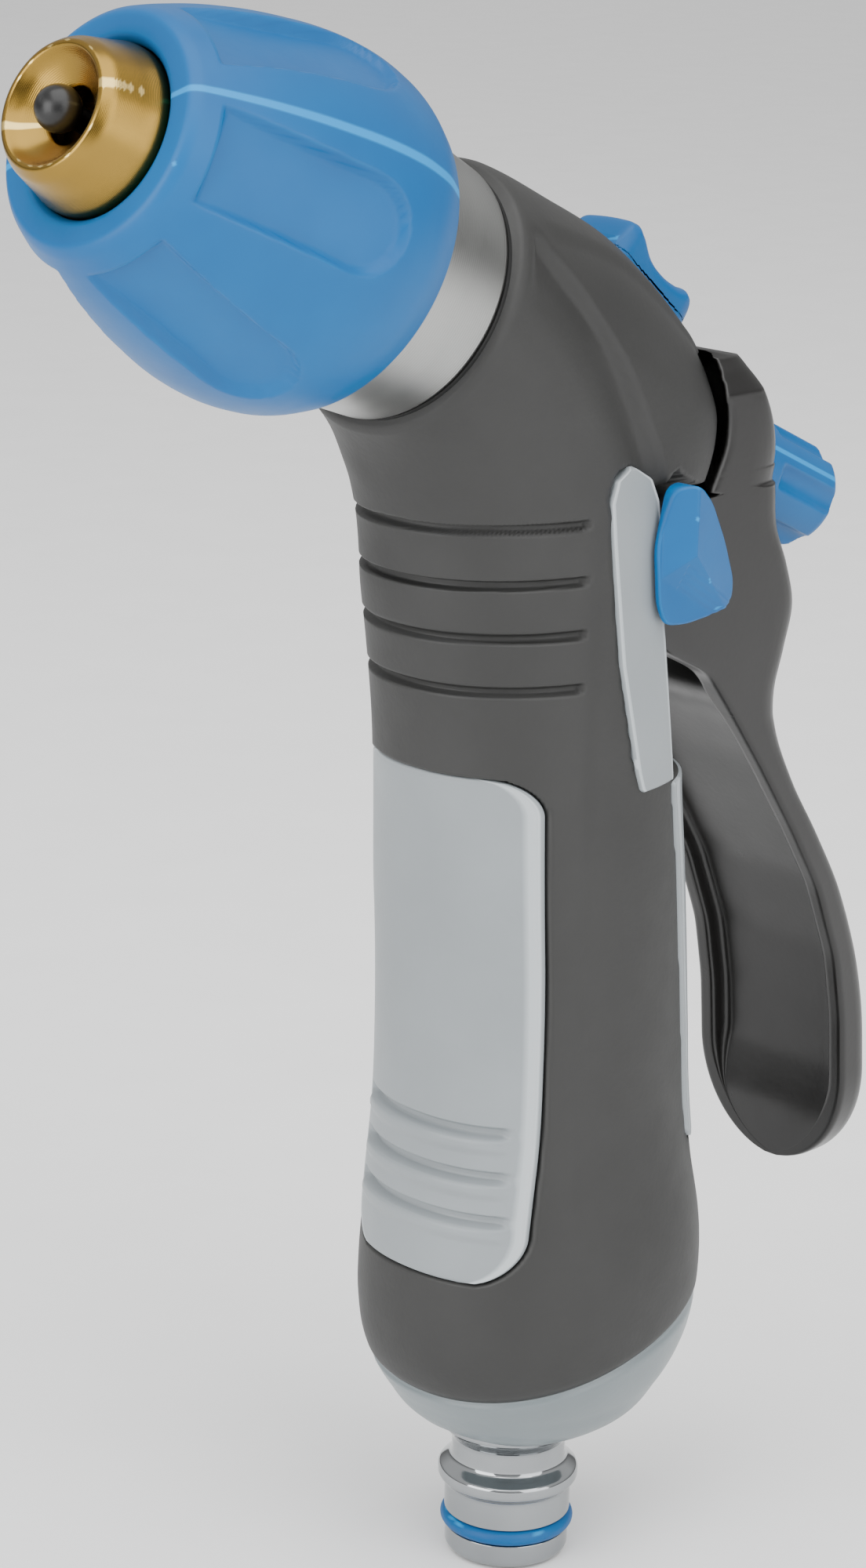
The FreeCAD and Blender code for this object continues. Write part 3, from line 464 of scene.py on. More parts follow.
def strip(name, heights, left, right, place, thick, soft=0.45):
    """A strip between two edges; place(u, z, below) gives a point under the form's surface."""
    across, edge, below = strip_loop(thick, soft)
    z = heights[:, None] + 0 * across
    middle, half = (left + right) / 2, (right - left) / 2
    half = np.maximum(half, 0.02)[:, None]
    u = middle[:, None] + across * np.maximum(half - edge, 0.01)
    end = np.minimum(heights - heights[0], heights[-1] - heights)
    end_drop = soft * (1 - np.sqrt(np.clip(1 - (1 - np.clip(end / soft, 0, 1)) ** 2, 0, 1)))
    sunk = np.minimum(below + end_drop[:, None], thick)
    return tube_mesh(name, place(u, z, sunk))


def end_spaced(low, high, count, fine=1.2):
    """Heights from low to high that crowd towards both ends."""
    t = np.linspace(0, 1, count)
    ramp = np.sin((t - 0.5) * np.pi) / 2 + 0.5
    return low + (high - low) * ((fine - 1) * ramp + (2 - fine) * t)


# %% [markdown]
# ## Front panel
# The panel lies on the form's front. Three grooves and a shallow dish under the thumb are pressed into it.

# %% Front panel
PANEL_GROOVES = (59.3, 54.0, 48.8)
PANEL_LIFT = 0.2


def panel_place(u, z, below):
    """A point u to the left at height z, a depth below the panel's outer face."""
    x = form_front(u, z)
    point = np.stack([x, u, z], axis=-1)
    middle = np.stack([0 * x, 0 * x, z], axis=-1)
    ray = (point - middle) / np.linalg.norm(point - middle, axis=-1)[..., None]
    facing = np.degrees(np.arctan2(np.abs(u), x))
    press = 0
    for groove in PANEL_GROOVES:
        length = 1 - ease((facing - 36) / 4)
        channel, lip = near(z - groove, 0.3, 0.6), near(z - groove + 1.5, 0.2, 1.1)
        press = press + length * (0.95 * channel - 0.35 * lip)
    dish = 0.5 * ease((z - 84) / 14) * (1 - ease((facing - 25) / 30))
    return point + ray * (PANEL_LIFT - below - (press + dish) * (below < 0.3))[..., None]

heights = np.unique(np.concatenate([end_spaced(PANEL_Z[0], PANEL_Z[1], 170), np.linspace(46, 61.5, 70)]))
width = np.maximum(panel_half_width(heights), 0.3)
panel = strip("front_panel_skin", heights, -width, width, panel_place, 1.5, 0.5)
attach(panel, "handle")
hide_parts("front_panel")
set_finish(panel, "light_plastic")

# %% [markdown]
# ## Ears and spine
# The trigger's pin runs through two light ears, and the same moulding goes on down the back as a spine.
# Seen from the side each ear is a strip between a front and a back edge.

# %% Ears and spine
def edge_at(edge, heights):
    """Where an edge given as (x, z) points stands at each height."""
    points = np.array(sorted(edge, key=lambda p: p[1]))
    return np.interp(heights, points[:, 1], points[:, 0])


def ear_place(side):
    """The place function of the left (1) or right (-1) ear, raised 0.05 above the form."""
    def place(u, z, below):
        y = form_side(u, z)
        flat = np.stack([0.35 * u, y, 0 * u], axis=-1)
        ray = flat / np.linalg.norm(flat, axis=-1)[..., None]
        point = np.stack([u, y, z], axis=-1) + ray * (0.05 - below)[..., None]
        return point * np.array([1, side, 1])
    return place

ear_heights = end_spaced(97.8, 135.3, 120)
front_edge = edge_at([(-1.5, 97.8), (-0.9, 98.3), (-0.2, 100.2), (2.9, 113.0), (4.9, 126.6), (5.4, 131.6),
                      (4.6, 134.0), (2.4, 135.3)], ear_heights)
back_edge = edge_at([(-8.2, 97.8), (-7.7, 101.0), (-4.8, 116.2), (-3.4, 126.0), (-2.7, 131.0), (-1.4, 133.6),
                     (1.6, 135.3)], ear_heights)
ears = [strip(f"ear_{word}", ear_heights, back_edge, front_edge, ear_place(side), 2.7)
        for word, side in (("left", 1), ("right", -1))]


def spine_place(u, z, below):
    """u runs from -1 to 1 round the back between the two spine edges."""
    edge = edge_at(SPINE_EDGE, z[:, 0])
    flat = smooth_path(form_knots, form_values, z[:, 0])
    depth, middle = flat[:, 4] - flat[:, 3], CROOK_X - flat[:, 3]
    lean = np.clip((middle - edge) / depth, 0, 1) ** (OVAL_POWER / 2)
    open_angle = np.arccos(lean)
    turns = np.pi + u * open_angle[:, None]
    point, core = form_points(z, turns)
    ray = point - core
    ray = ray / np.linalg.norm(ray, axis=-1)[..., None]
    return point + ray * (0.05 - below)[..., None]

spine_heights = end_spaced(52.7, 97.4, 110)
spine_half = np.full_like(spine_heights, 0.985)
spine = strip("spine", spine_heights, -spine_half, spine_half, spine_place, 1.6, 0.035)

for piece in ears + [spine]:
    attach(piece, "handle")
    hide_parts("rear_frame")
    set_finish(piece, "light_plastic")

# %% [markdown]
# ## End bezel
# A satin grey cap closes the bottom of the grip. It follows the same form below the sloping seam.

# %% End bezel
BEZEL_WALL, BEZEL_HOLE_R = 2.6, 8.4
turns = np.linspace(0, 2 * np.pi, 180, endpoint=False)
share = np.linspace(0, 1, 60)[:, None]
low = form_knots[0] + 0.05
stations = low + share * (seam_height(turns, 0.02)[None] - low)
skin, core = form_points(stations, turns[None] + 0 * stations)
ray = skin - core
size = np.linalg.norm(ray, axis=-1, keepdims=True)
rim = 0.5 * (1 - ease((1 - share) * 9 / 0.8))
skin = skin - ray / size * rim[..., None]
inner = core + (skin - core) * ((size - BEZEL_WALL) / size)
hole = core[:1] + ray[:1] / size[:1] * BEZEL_HOLE_R + 0 * skin[:1]
bezel = tube_mesh("bezel_skin", np.concatenate([hole, skin, inner[-1:], inner[20:21]]), wrap_rows=True)
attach(bezel, "handle")
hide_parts("end_bezel")
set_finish(bezel, "bezel_plastic")

# %% [markdown]
# ## Turned metal and moulded rings
# The connector, the collar and the brass tip are turned on a lathe, so each is a closed profile
# carried round its axis. Every corner gets a small arc, because a real edge is never perfectly sharp.

# %% Hose connector
connector = turned("connector_skin", [
    (4.5, 0.0, 0.3), (6.9, 0.0, 0.3), (7.4, 0.6, 0.3), (7.4, 2.95, 0.15), (6.1, 2.95, 0.15),
    (6.1, 5.05, 0.15), (7.55, 5.05, 0.15), (7.55, 8.6, 0.4), (8.4, 9.4, 0.35), (8.4, 10.7, 0.35),
    (6.8, 11.9, 0.5), (6.8, 14.6, 0.6), (8.3, 16.4, 0.3), (8.3, 17.6, 0.2), (8.0, 17.8, 0.1),
    (8.0, 25.4, 0.2), (4.5, 25.4, 0.2)],
    cols=144, per_mm=3.5, upright=True)
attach(connector, "handle")
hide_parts("hose_connector")
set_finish(connector, "chrome")

# %% [markdown]
# ## Collar
# The collar widens a little towards the head, with a straight band at its front end.

# %% Brushed collar
collar = turned("collar_skin", [
    (12.47, 24.95, 0.2), (14.2, 24.95, 0.3), (14.75, 25.5, 0.3), (15.2, 30.2, 0), (15.62, 35.4, 0.2),
    (15.95, 36.0, 0.3), (15.95, 38.8, 0.3), (12.47, 38.8, 0.2)], cols=180, per_mm=5)
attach(collar, "handle")
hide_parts("collar_ring")
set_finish(collar, "brushed_collar")

# %% [markdown]
# ## Brass tip
# The tip is a sleeve with a dished mouth round the spray pin.

# %% Brass tip
tip = turned("nozzle_tip_skin", [
    (9.0, 50.2, 0.2), (9.0, 72.2, 0.35), (8.55, 73.5, 0.5), (7.5, 77.2, 0.5), (6.72, 78.25, 0.3),
    (6.2, 78.28, 0.25), (5.4, 77.2, 0.6), (2.95, 75.4, 0.4), (2.95, 74.4, 0.2), (7.05, 69.8, 0.3),
    (7.05, 50.2, 0.2)], cols=160, per_mm=4.5)
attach(tip, "nozzle")
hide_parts("nozzle_tip")
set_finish(tip, "brass")

# %% [markdown]
# ## Spray head
# The head is a moulded ring with six pressed flutes. Each flute is a flat floor that slopes with the nose and
# has a round rear end, so its depth is how far the turned outline stands above that floor.

# %% Twist head
FLUTE_HALF, FLUTE_REAR, FLUTE_END, FLOOR_R, FLOOR_SLOPE = 5.0, 51.5, 68.8, 17.75, 0.278


def press_flutes(r, z, angle):
    """Lower the outside to the flute floor: the floor's distance from the axis, over the cosine of the turn."""
    off = angle % (np.pi / 3) - np.pi / 6
    across, ahead = r * np.sin(off), z - FLUTE_REAR
    inside = FLUTE_HALF - np.where(ahead < 0, np.hypot(np.minimum(ahead, 0), across), np.abs(across))
    inside = np.minimum(inside, FLUTE_END - z)
    floor = (FLOOR_R - ahead * FLOOR_SLOPE) / np.cos(off)
    drop = np.maximum(r - floor, 0) * ease((inside + 0.15) / 0.5) * (r > 14.7 - (z > 65) * 3)
    return r - drop, z

head = turned("twist_head_skin", [
    (17.0, 37.25, 0.3), (17.8, 37.35, 0.5), (19.3, 40.6, 1.6), (19.93, 44.8, 2.0), (19.83, 48.4, 2.4),
    (19.35, 52.0, 2.4), (17.9, 58.5, 3.0), (15.95, 64.5, 2.5), (14.05, 69.0, 1.4), (13.0, 71.15, 0.8),
    (12.2, 71.95, 0.6), (9.7, 71.9, 0.5), (9.12, 71.2, 0.4), (9.12, 60.2, 0.2), (14.65, 60.0, 0.2),
    (14.65, 40.4, 0.2), (16.4, 40.4, 0.2), (16.4, 37.25, 0.2)], cols=384, per_mm=2.6, shape=press_flutes)
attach(head, "head")
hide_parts("twist_head")
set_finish(head, "blue_plastic")
print("head faces", len(head.data.polygons))

# %% [markdown]
# ## Flow knob
# A round flute is a circle whose middle lies outside the knob. Along a ray at angle a from that middle, the
# circle's near side is at: middle times cos a, minus the root of (radius squared minus (middle times sin a)
# squared).

# %% Flow knob with six flutes
BITE_MIDDLE, BITE_R = 7.3, 1.9


def knob_flutes(r, z, angle):
    """Press six round flutes into the knob, but not into its hole or its front rim."""
    off = angle % (np.pi / 3) - np.pi / 6
    part = np.clip(BITE_R**2 - (BITE_MIDDLE * np.sin(off)) ** 2, 0, None)
    floor = BITE_MIDDLE * np.cos(off) - np.sqrt(part)
    cut = (part > 0) * (1 - ease((z + 39.6) / 0.8))
    return np.where(r > 4.5, r - np.maximum(r - floor, 0) * cut, r), z

knob = turned("flow_knob_skin", [
    (3.62, -34.45, 0.1), (5.9, -34.45, 0.4), (6.4, -35.0, 0.4), (6.4, -49.8, 0.9), (5.3, -50.95, 0.7),
    (0.4, -50.95, 0.1), (0.4, -44.0, 0), (3.62, -43.0, 0.1)], cols=216, per_mm=3, shape=knob_flutes)
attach(knob, "knob")
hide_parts("flow_knob")
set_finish(knob, "blue_plastic")

# %% [markdown]
# ## Trigger
# The lever is a channel: a rounded back, two cheeks that hug the handle and a spoon-shaped hollow facing it.
# It is drawn as level sections from the tip up. Each section is the same eight-cornered outline with arcs at
# the corners; only the corner positions change with height.

# %% Corner-rounded sections
def soft_loop(corners, radii, arc=6, side=5):
    """A closed outline through moving corners: corners (rows, n, 2) and radii (n,) give equally long rows."""
    rows, count, _ = corners.shape
    back, ahead = np.roll(corners, 1, axis=1) - corners, np.roll(corners, -1, axis=1) - corners
    back_len = np.linalg.norm(back, axis=-1, keepdims=True) + 1e-9
    ahead_len = np.linalg.norm(ahead, axis=-1, keepdims=True) + 1e-9
    reach = np.minimum(np.asarray(radii)[None, :, None], 0.45 * np.minimum(back_len, ahead_len))
    a, b = corners + back / back_len * reach, corners + ahead / ahead_len * reach
    out = []
    for i in range(count):
        for t in np.linspace(0, 1, arc):
            out.append((1 - t) ** 2 * a[:, i] + 2 * t * (1 - t) * corners[:, i] + t**2 * b[:, i])
        for t in np.linspace(0, 1, side + 2)[1:-1]:
            out.append((1 - t) * b[:, i] + t * a[:, (i + 1) % count])
    return np.stack(out, axis=1)

# %% [markdown]
# ## Trigger lever
# Three lines seen from the side give the back, the front of the cheeks and the floor of the hollow. Above the
# hollow the front is closed and hugs the bulge, and the sides draw in to a circle about the barrel.

# %% Trigger lever
TRIGGER_BACK = np.array([
    (-17.9, 146.2), (-20.6, 145.2), (-24.2, 142.2), (-27.4, 137.6), (-29.0, 133.0), (-29.6, 128.5),
    (-30.2, 123.5), (-32.4, 118.6), (-33.8, 113.8), (-32.6, 108.6), (-31.2, 103.6), (-31.6, 98.6),
    (-34.8, 91.6), (-39.6, 84.6), (-44.6, 76.6), (-48.2, 68.6), (-50.6, 60.6), (-51.6, 52.6),
    (-51.9, 44.6), (-51.6, 37.6)])[::-1]
TRIGGER_FRONT = np.array([
    (-47.4, 37.6), (-46.9, 44.0), (-46.2, 52.0), (-45.6, 59.0), (-43.9, 67.3), (-39.6, 77.4),
    (-34.5, 85.3), (-28.0, 94.4), (-21.6, 102.8), (-17.1, 108.4), (-11.5, 110.6), (-7.0, 114.0),
    (-4.2, 119.5), (-3.6, 124.5), (-4.3, 127.2), (-6.0, 128.4), (-21.2, 128.9), (-23.4, 130.6),
    (-24.6, 134.4), (-23.6, 138.4), (-20.8, 142.2), (-18.6, 144.3)])
HOLLOW = np.array([
    (-47.4, 37.6), (-47.0, 44.0), (-48.0, 48.0), (-48.8, 52.0), (-48.2, 59.0), (-46.5, 67.3),
    (-42.2, 77.4), (-37.1, 85.3), (-31.0, 94.4), (-25.6, 100.8), (-20.6, 104.6), (-20.2, 112.0),
    (-21.5, 120.0), (-21.5, 128.9), (-23.4, 130.6), (-24.6, 134.4), (-23.6, 138.4), (-20.8, 142.2),
    (-18.6, 144.3)])
TIP_Z, TIP_RISE, LEVER_HALF = 37.6, 14.0, 11.6
HOOD_R, HOOD_Z = 13.0, 130
levels = np.unique(np.concatenate([
    TIP_Z + TIP_RISE * (1 - np.cos(np.linspace(0.12, np.pi / 2, 40))), np.linspace(51.6, 126, 170),
    np.linspace(126, 131, 50), np.linspace(131, 144.2, 60)]))
xb = smooth_path(TRIGGER_BACK[:, 1], TRIGGER_BACK[:, 0], levels)
xf = np.interp(levels, TRIGGER_FRONT[:, 1], TRIGGER_FRONT[:, 0])
blend = np.exp(-0.5 * ((levels[:, None] - levels[None]) / 1.1) ** 2)
xf = np.where((levels > 125) & (levels < 131), xf, (blend @ xf) / blend.sum(axis=1))
xh = np.minimum((blend @ np.interp(levels, HOLLOW[:, 1], HOLLOW[:, 0])) / blend.sum(axis=1), xf - 0.02)
half = LEVER_HALF * np.sqrt(np.clip(1 - ((TIP_Z + TIP_RISE - levels) / TIP_RISE).clip(0) ** 2, 0, 1))
rise = -(xb + 3) * np.sin(TILT) + (levels - BARREL_Z) * np.cos(TILT)
hood = np.sqrt(np.clip(HOOD_R**2 - rise**2, 1, None))
half = np.where(levels > HOOD_Z, np.minimum(half, hood), half)
wall = 2.4 + 0.5 * ease((levels - 98) / 6)
inner = np.maximum(half - wall, 0.05)
corners = np.stack([np.stack([xb, half], 1), np.stack([xb, -half], 1), np.stack([xf, -half], 1),
                    np.stack([xf, -inner], 1), np.stack([xh, -inner], 1), np.stack([xh, inner], 1),
                    np.stack([xf, inner], 1), np.stack([xf, half], 1)], axis=1)
loop = soft_loop(corners, [3.6, 3.6, 0.8, 0.8, 2.2, 2.2, 0.8, 0.8], arc=7, side=9)
grid = np.concatenate([loop, np.broadcast_to(levels[:, None, None], loop.shape[:2] + (1,))], axis=-1)


def behind_bulge(y, z):
    """Where the form's rear surface lies at a side offset and height: the furthest back of a dense sampling,
    kept in a table of half-millimetre cells and read between its four nearest cells."""
    rows = np.linspace(form_knots[14], form_knots[-1], 260)
    around = np.linspace(np.pi / 2, 3 * np.pi / 2, 160)
    points, _core = form_points(rows[:, None] + 0 * around, around[None] + 0 * rows[:, None])
    cell, low_y, low_z, count_y, count_z = 0.5, -20, 110, 90, 120
    iy = np.round((points[..., 1] - low_y) / cell).astype(int).ravel().clip(0, count_y - 1)
    iz = np.round((points[..., 2] - low_z) / cell).astype(int).ravel().clip(0, count_z - 1)
    table = np.full((count_y, count_z), 40.0)
    np.minimum.at(table, (iy, iz), points[..., 0].ravel())
    smooth = table.copy()
    for shift in ((1, 0), (-1, 0), (0, 1), (0, -1)):
        smooth = np.minimum(smooth, np.roll(table, shift, axis=(0, 1)))
    fy, fz = (y - low_y) / cell, (z - low_z) / cell
    y0, z0 = np.floor(fy).astype(int).clip(0, count_y - 2), np.floor(fz).astype(int).clip(0, count_z - 2)
    ty, tz = np.clip(fy - y0, 0, 1), np.clip(fz - z0, 0, 1)
    low = smooth[y0, z0] * (1 - ty) + smooth[y0 + 1, z0] * ty
    high = smooth[y0, z0 + 1] * (1 - ty) + smooth[y0 + 1, z0 + 1] * ty
    return low * (1 - tz) + high * tz

hug = behind_bulge(grid[..., 1], grid[..., 2]) - 0.9
back = xb[:, None] + 0 * hug
share = (grid[..., 0] - back) / np.maximum(xf[:, None] - back, 0.5)
wanted = np.clip(hug, back + 1.4, -3.0)
part = ease((levels - 128.3) / 1.0)[:, None]
grid[..., 0] = grid[..., 0] + part * share.clip(0, 1) * (wanted - np.maximum(xf[:, None], back))
lever = tube_mesh("trigger_skin", grid)
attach(lever, "trigger")
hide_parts("trigger_lever")
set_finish(lever, "trigger_plastic")

# %% [markdown]
# ## Trigger pad
# The pad is a strip on the lever's back, round at its lower end, and it widens towards its upper end.

# %% Soft pad on the back of the trigger
PAD_HALF = 7.2
PAD_BACK = np.array([(-31.0, 103.0), (-32.6, 98.6), (-35.9, 91.6), (-40.7, 84.6), (-45.7, 76.6),
                     (-49.2, 68.6), (-51.4, 60.6), (-52.4, 52.6)])[::-1]


def pad_place(u, z, below):
    """A point u to the left at height z on the pad, which falls away towards its sides."""
    x = smooth_path(PAD_BACK[:, 1], PAD_BACK[:, 0], z[:, 0])[:, None] + 0 * u
    crown = 0.5 * (u / PAD_HALF) ** 2 + 1.3 * (np.maximum(np.abs(u) - PAD_HALF, 0) / 3.4) ** 2
    return np.stack([x + crown + 1.1 * below, u, z], axis=-1)

pad_heights = end_spaced(52.8, 102.8, 120)
pad_half = PAD_HALF * np.clip(1 - (1 - np.clip((pad_heights - 52.6) / 6, 0, 1)) ** 2, 0.01, 1) ** 0.5
pad_half = pad_half + 3.5 * ease((pad_heights - 76) / 10)
pad_half = pad_half * np.clip(1 - (1 - np.clip((103.0 - pad_heights) / 5, 0, 1)) ** 2, 0.01, 1) ** 0.5
pad = strip("trigger_pad_skin", pad_heights, -pad_half, pad_half, pad_place, 1.7, 0.7)
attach(pad, "trigger")
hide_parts("trigger_pad")
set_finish(pad, "blue_rubber")

# %% [markdown]
# ## Lock lever
# The lever is a faceted plate: its outer face is the lowest of three sloping planes, with fine ribs at one
# end.

# %% Lock lever
LOCK_OUTLINE = np.array([
    (-2.5, 132.7), (-4.8, 133.1), (-7.6, 130.8), (-10.9, 125.8), (-13.3, 120.9), (-13.2, 118.7),
    (-10.8, 117.1), (-6.0, 116.7), (-2.8, 117.1), (-1.6, 119.4), (-0.9, 126.0)])
LOCK_TOP_Y, LOCK_LOW_Y = 19.74, 17.3


def outline_points(outline, soft, count):
    """Evenly spaced points round a corner-rounded outline."""
    corners = np.asarray(outline, float)[None]
    loop = soft_loop(corners, np.full(corners.shape[1], soft))[0]
    closed = np.concatenate([loop, loop[:1]])
    run = np.concatenate([[0], np.cumsum(np.linalg.norm(np.diff(closed, axis=0), axis=1))])
    at = np.linspace(0, run[-1], count, endpoint=False)
    return np.stack([np.interp(at, run, closed[:, 0]), np.interp(at, run, closed[:, 1])], axis=1)

edge = outline_points(LOCK_OUTLINE, 1.3, 180)
centre = edge.mean(axis=0)
shrink = np.concatenate([[0.3, 0.97, 1.0, 1.0, 0.985], np.linspace(0.955, 0.02, 46)])
flat = centre + (edge - centre) * shrink[:, None, None]
px, pz = flat[..., 0], flat[..., 1]
below = (pz - 125.2) - 0.62 * (px + 4.6)
face = np.minimum.reduce([LOCK_TOP_Y + 0.22 * (px + 4.6), LOCK_TOP_Y - 0.8 * (px + 4.6),
                          LOCK_TOP_Y + 0.55 * below])
ribs = 0.09 * (1 + np.sin(below * 2 * np.pi / 0.9)) / 2 * (below < -1.2) * (px < -4.2)
py = np.maximum(face - ribs, LOCK_LOW_Y)
py[0], py[1], py[2] = 16.45, 16.45, 16.7
py[3] = np.maximum(py[3] - 0.5, 17.0)
plate = tube_mesh("lock_lever_skin", np.stack([px, py, pz], axis=-1))
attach(plate, "lock")
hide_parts("lock_lever")
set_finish(plate, "blue_plastic")

# %% [markdown]
# ## Thumb slide
# The slide is a low saddle with a hump at each end, drawn as sections across its length.

# %% Thumb slide
SLIDER_HALF_LENGTH, SLIDER_HALF = 7.75, 4.6
sx = np.concatenate([-SLIDER_HALF_LENGTH + 0.9 * (1 - np.cos(np.linspace(0.15, np.pi / 2, 10))),
                     np.linspace(-6.8, 6.8, 70)[1:-1],
                     SLIDER_HALF_LENGTH - 0.9 * (1 - np.cos(np.linspace(np.pi / 2, 0.15, 10)))])
top_line = smooth_path([-7.75, -7.2, -5.9, -4.0, -1.0, 2.2, 5.0, 6.4, 7.3, 7.75],
                       [1.6, 3.2, 4.05, 3.5, 3.0, 3.3, 4.6, 4.85, 4.0, 2.0], sx)
end = np.sqrt(np.clip(1 - ((np.abs(sx) - 5.4).clip(0) / 2.5) ** 2, 0.02, 1))
wide = (SLIDER_HALF - 1.6) + 1.55 * end
box = np.stack([np.stack([wide, 0 * sx + 0.02], 1), np.stack([wide, top_line], 1),
                np.stack([-wide, top_line], 1), np.stack([-wide, 0 * sx + 0.02], 1)], axis=1)
loop = soft_loop(box, [0.3, 1.3, 1.3, 0.3], arc=8, side=14)
across, up = loop[..., 0], loop[..., 1]
up = up - 0.35 * (up > 1.0) * (np.abs(across) / SLIDER_HALF) ** 2
grid = (SLIDE_HOME + sx[:, None, None] * SLIDE_X + across[..., None] * SIDE + up[..., None] * SLIDE_UP)
slide = tube_mesh("thumb_slider_skin", grid)
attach(slide, "slider")
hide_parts("thumb_slider")
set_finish(slide, "blue_plastic")

# %% [markdown]
# ## Finishes
# Every finish is worked out in space, so it needs no picture. A coarse noise drifts the colour a little, as
# pigment and handling do, a finer one varies the gloss, a third raises the surface grain, and the sharpest
# edges get a painted highlight: a lighter colour laid on them.

# %% Finish recipe
def linear(code):
    """An sRGB colour code as linear light: ((c + 0.055) / 1.055) to the power 2.4."""
    values = [int(code[i:i + 2], 16) / 255 for i in (0, 2, 4)]
    return tuple(v / 12.92 if v < 0.04045 else ((v + 0.055) / 1.055) ** 2.4 for v in values) + (1.0,)


def finish(name, main, second, gloss, edge=None, metal=0.0, grain=(900.0, 0.06), brush=False,
           highlight_pointiness=(0.53, 0.62), shine=0.5):
    """A finish: two colours mixed by noise, a range of roughness, grain (scale, height in mm) and a painted
    highlight on sharp edges.

    With brush the grain is fine rings round the barrel. The pointiness pair gives the sharpnesses between which
    an edge takes the painted highlight."""
    material = bpy.data.materials.new(name)
    material.use_nodes = True
    tree = material.node_tree
    add = tree.nodes.new
    link = tree.links.new
    shader = tree.nodes["Principled BSDF"]
    shader.inputs["Metallic"].default_value = metal
    shader.inputs["Specular IOR Level"].default_value = shine
    own = add("ShaderNodeTexCoord").outputs["Object"]

    def noise(scale, detail):
        cloud = add("ShaderNodeTexNoise")
        cloud.inputs["Scale"].default_value = scale
        cloud.inputs["Detail"].default_value = detail
        link(own, cloud.inputs["Vector"])
        return cloud

    drift = noise(55.0, 4.0)
    colour = add("ShaderNodeValToRGB")
    first, last = colour.color_ramp.elements
    first.position, last.position = 0.3, 0.7
    first.color, last.color = linear(main), linear(second)
    link(drift.outputs["Fac"], colour.inputs["Fac"])
    tint = colour.outputs["Color"]
    # edge is a painted highlight colour, mixed onto the sharpest edges by pointiness
    if edge:
        shape = add("ShaderNodeNewGeometry")
        ramp = add("ShaderNodeValToRGB")
        ramp.color_ramp.elements[0].position, ramp.color_ramp.elements[1].position = highlight_pointiness
        link(shape.outputs["Pointiness"], ramp.inputs["Fac"])
        edge_highlight_mix = add("ShaderNodeMix")
        edge_highlight_mix.data_type = "RGBA"
        edge_highlight_mix.inputs["B"].default_value = linear(edge)
        link(ramp.outputs["Color"], edge_highlight_mix.inputs["Factor"])
        link(tint, edge_highlight_mix.inputs["A"])
        tint = edge_highlight_mix.outputs["Result"]
    link(tint, shader.inputs["Base Color"])
    scatter = noise(260.0, 3.0)
    spread = add("ShaderNodeMapRange")
    spread.inputs["To Min"].default_value, spread.inputs["To Max"].default_value = gloss
    link(scatter.outputs["Fac"], spread.inputs["Value"])
    link(spread.outputs["Result"], shader.inputs["Roughness"])
    bump = add("ShaderNodeBump")
    bump.inputs["Distance"].default_value = grain[1] * MM
    bump.inputs["Strength"].default_value = 0.6
    if brush:
        lines = add("ShaderNodeTexWave")
        lines.bands_direction = "Z"
        turn = add("ShaderNodeMapping")
        turn.inputs["Rotation"].default_value = (0, -(np.pi / 2 - TILT), 0)
        lines.inputs["Scale"].default_value = grain[0]
        lines.inputs["Distortion"].default_value = 1.5
        lines.inputs["Detail"].default_value = 3.0
        link(own, turn.inputs["Vector"])
        link(turn.outputs["Vector"], lines.inputs["Vector"])
        link(lines.outputs["Fac"], bump.inputs["Height"])
    else:
        link(noise(grain[0], 2.0).outputs["Fac"], bump.inputs["Height"])
    link(bump.outputs["Normal"], shader.inputs["Normal"])
    return material

# the fifth colour of each finish is a painted highlight laid on its sharpest edges
FINISHES = {
    "grip_rubber": finish("grip_rubber", "1f1f1e", "242423", (0.50, 0.62), "3c3c3a", grain=(1500, 0.05)),
    "light_plastic": finish("light_plastic", "7f8588", "888e91", (0.34, 0.46), "a9afb2", grain=(1400, 0.03)),
    "bezel_plastic": finish("bezel_plastic", "6a7376", "747d80", (0.28, 0.40), "9aa1a4", grain=(1300, 0.03)),
    "chrome": finish("chrome", "8f9294", "a4a7a9", (0.06, 0.14), None, metal=1.0, grain=(700, 0.004)),
    "brushed_collar": finish("brushed_collar", "9a9b99", "acacaa", (0.24, 0.36), "dededc", metal=1.0,
                             grain=(900, 0.02), brush=True),
    "brass": finish("brass", "84682f", "957839", (0.20, 0.30), "d8bd78", metal=1.0, grain=(2600, 0.008),
                    brush=True),
    "blue_plastic": finish("blue_plastic", "005089", "005a94", (0.38, 0.48), "0284c6", grain=(1200, 0.015),
                           highlight_pointiness=(0.535, 0.66), shine=0.3),
    "blue_rubber": finish("blue_rubber", "004c84", "00568e", (0.45, 0.56), "047cb6", grain=(1500, 0.03),
                          shine=0.3),
    "trigger_plastic": finish("trigger_plastic", "131211", "181716", (0.24, 0.36), None, grain=(1300, 0.02)),
    "black_plastic": finish("black_plastic", "060606", "0b0b0b", (0.28, 0.42), "1a1a1a", grain=(1200, 0.03)),
    "black_rubber": finish("black_rubber", "070707", "0c0c0c", (0.5, 0.65), "1a1a1a", grain=(1500, 0.04)),
    "steel": finish("steel", "8f9396", "a2a6a8", (0.2, 0.34), "cdd0d2", metal=1.0, grain=(900, 0.01)),
    "zinc_casting": finish("zinc_casting", "6f7274", "7c7f81", (0.36, 0.52), "a0a3a4", metal=1.0,
                           grain=(1000, 0.05)),
    "white_plastic": finish("white_plastic", "b8bab8", "c4c6c4", (0.35, 0.48), "dcdddc", grain=(1200, 0.02)),
}

# %% [markdown]
# ## Finishes handed out
# Parts that aren't drawn again keep their engineering mesh and take a finish by name. The drawn pieces take
# the one that their slot names.

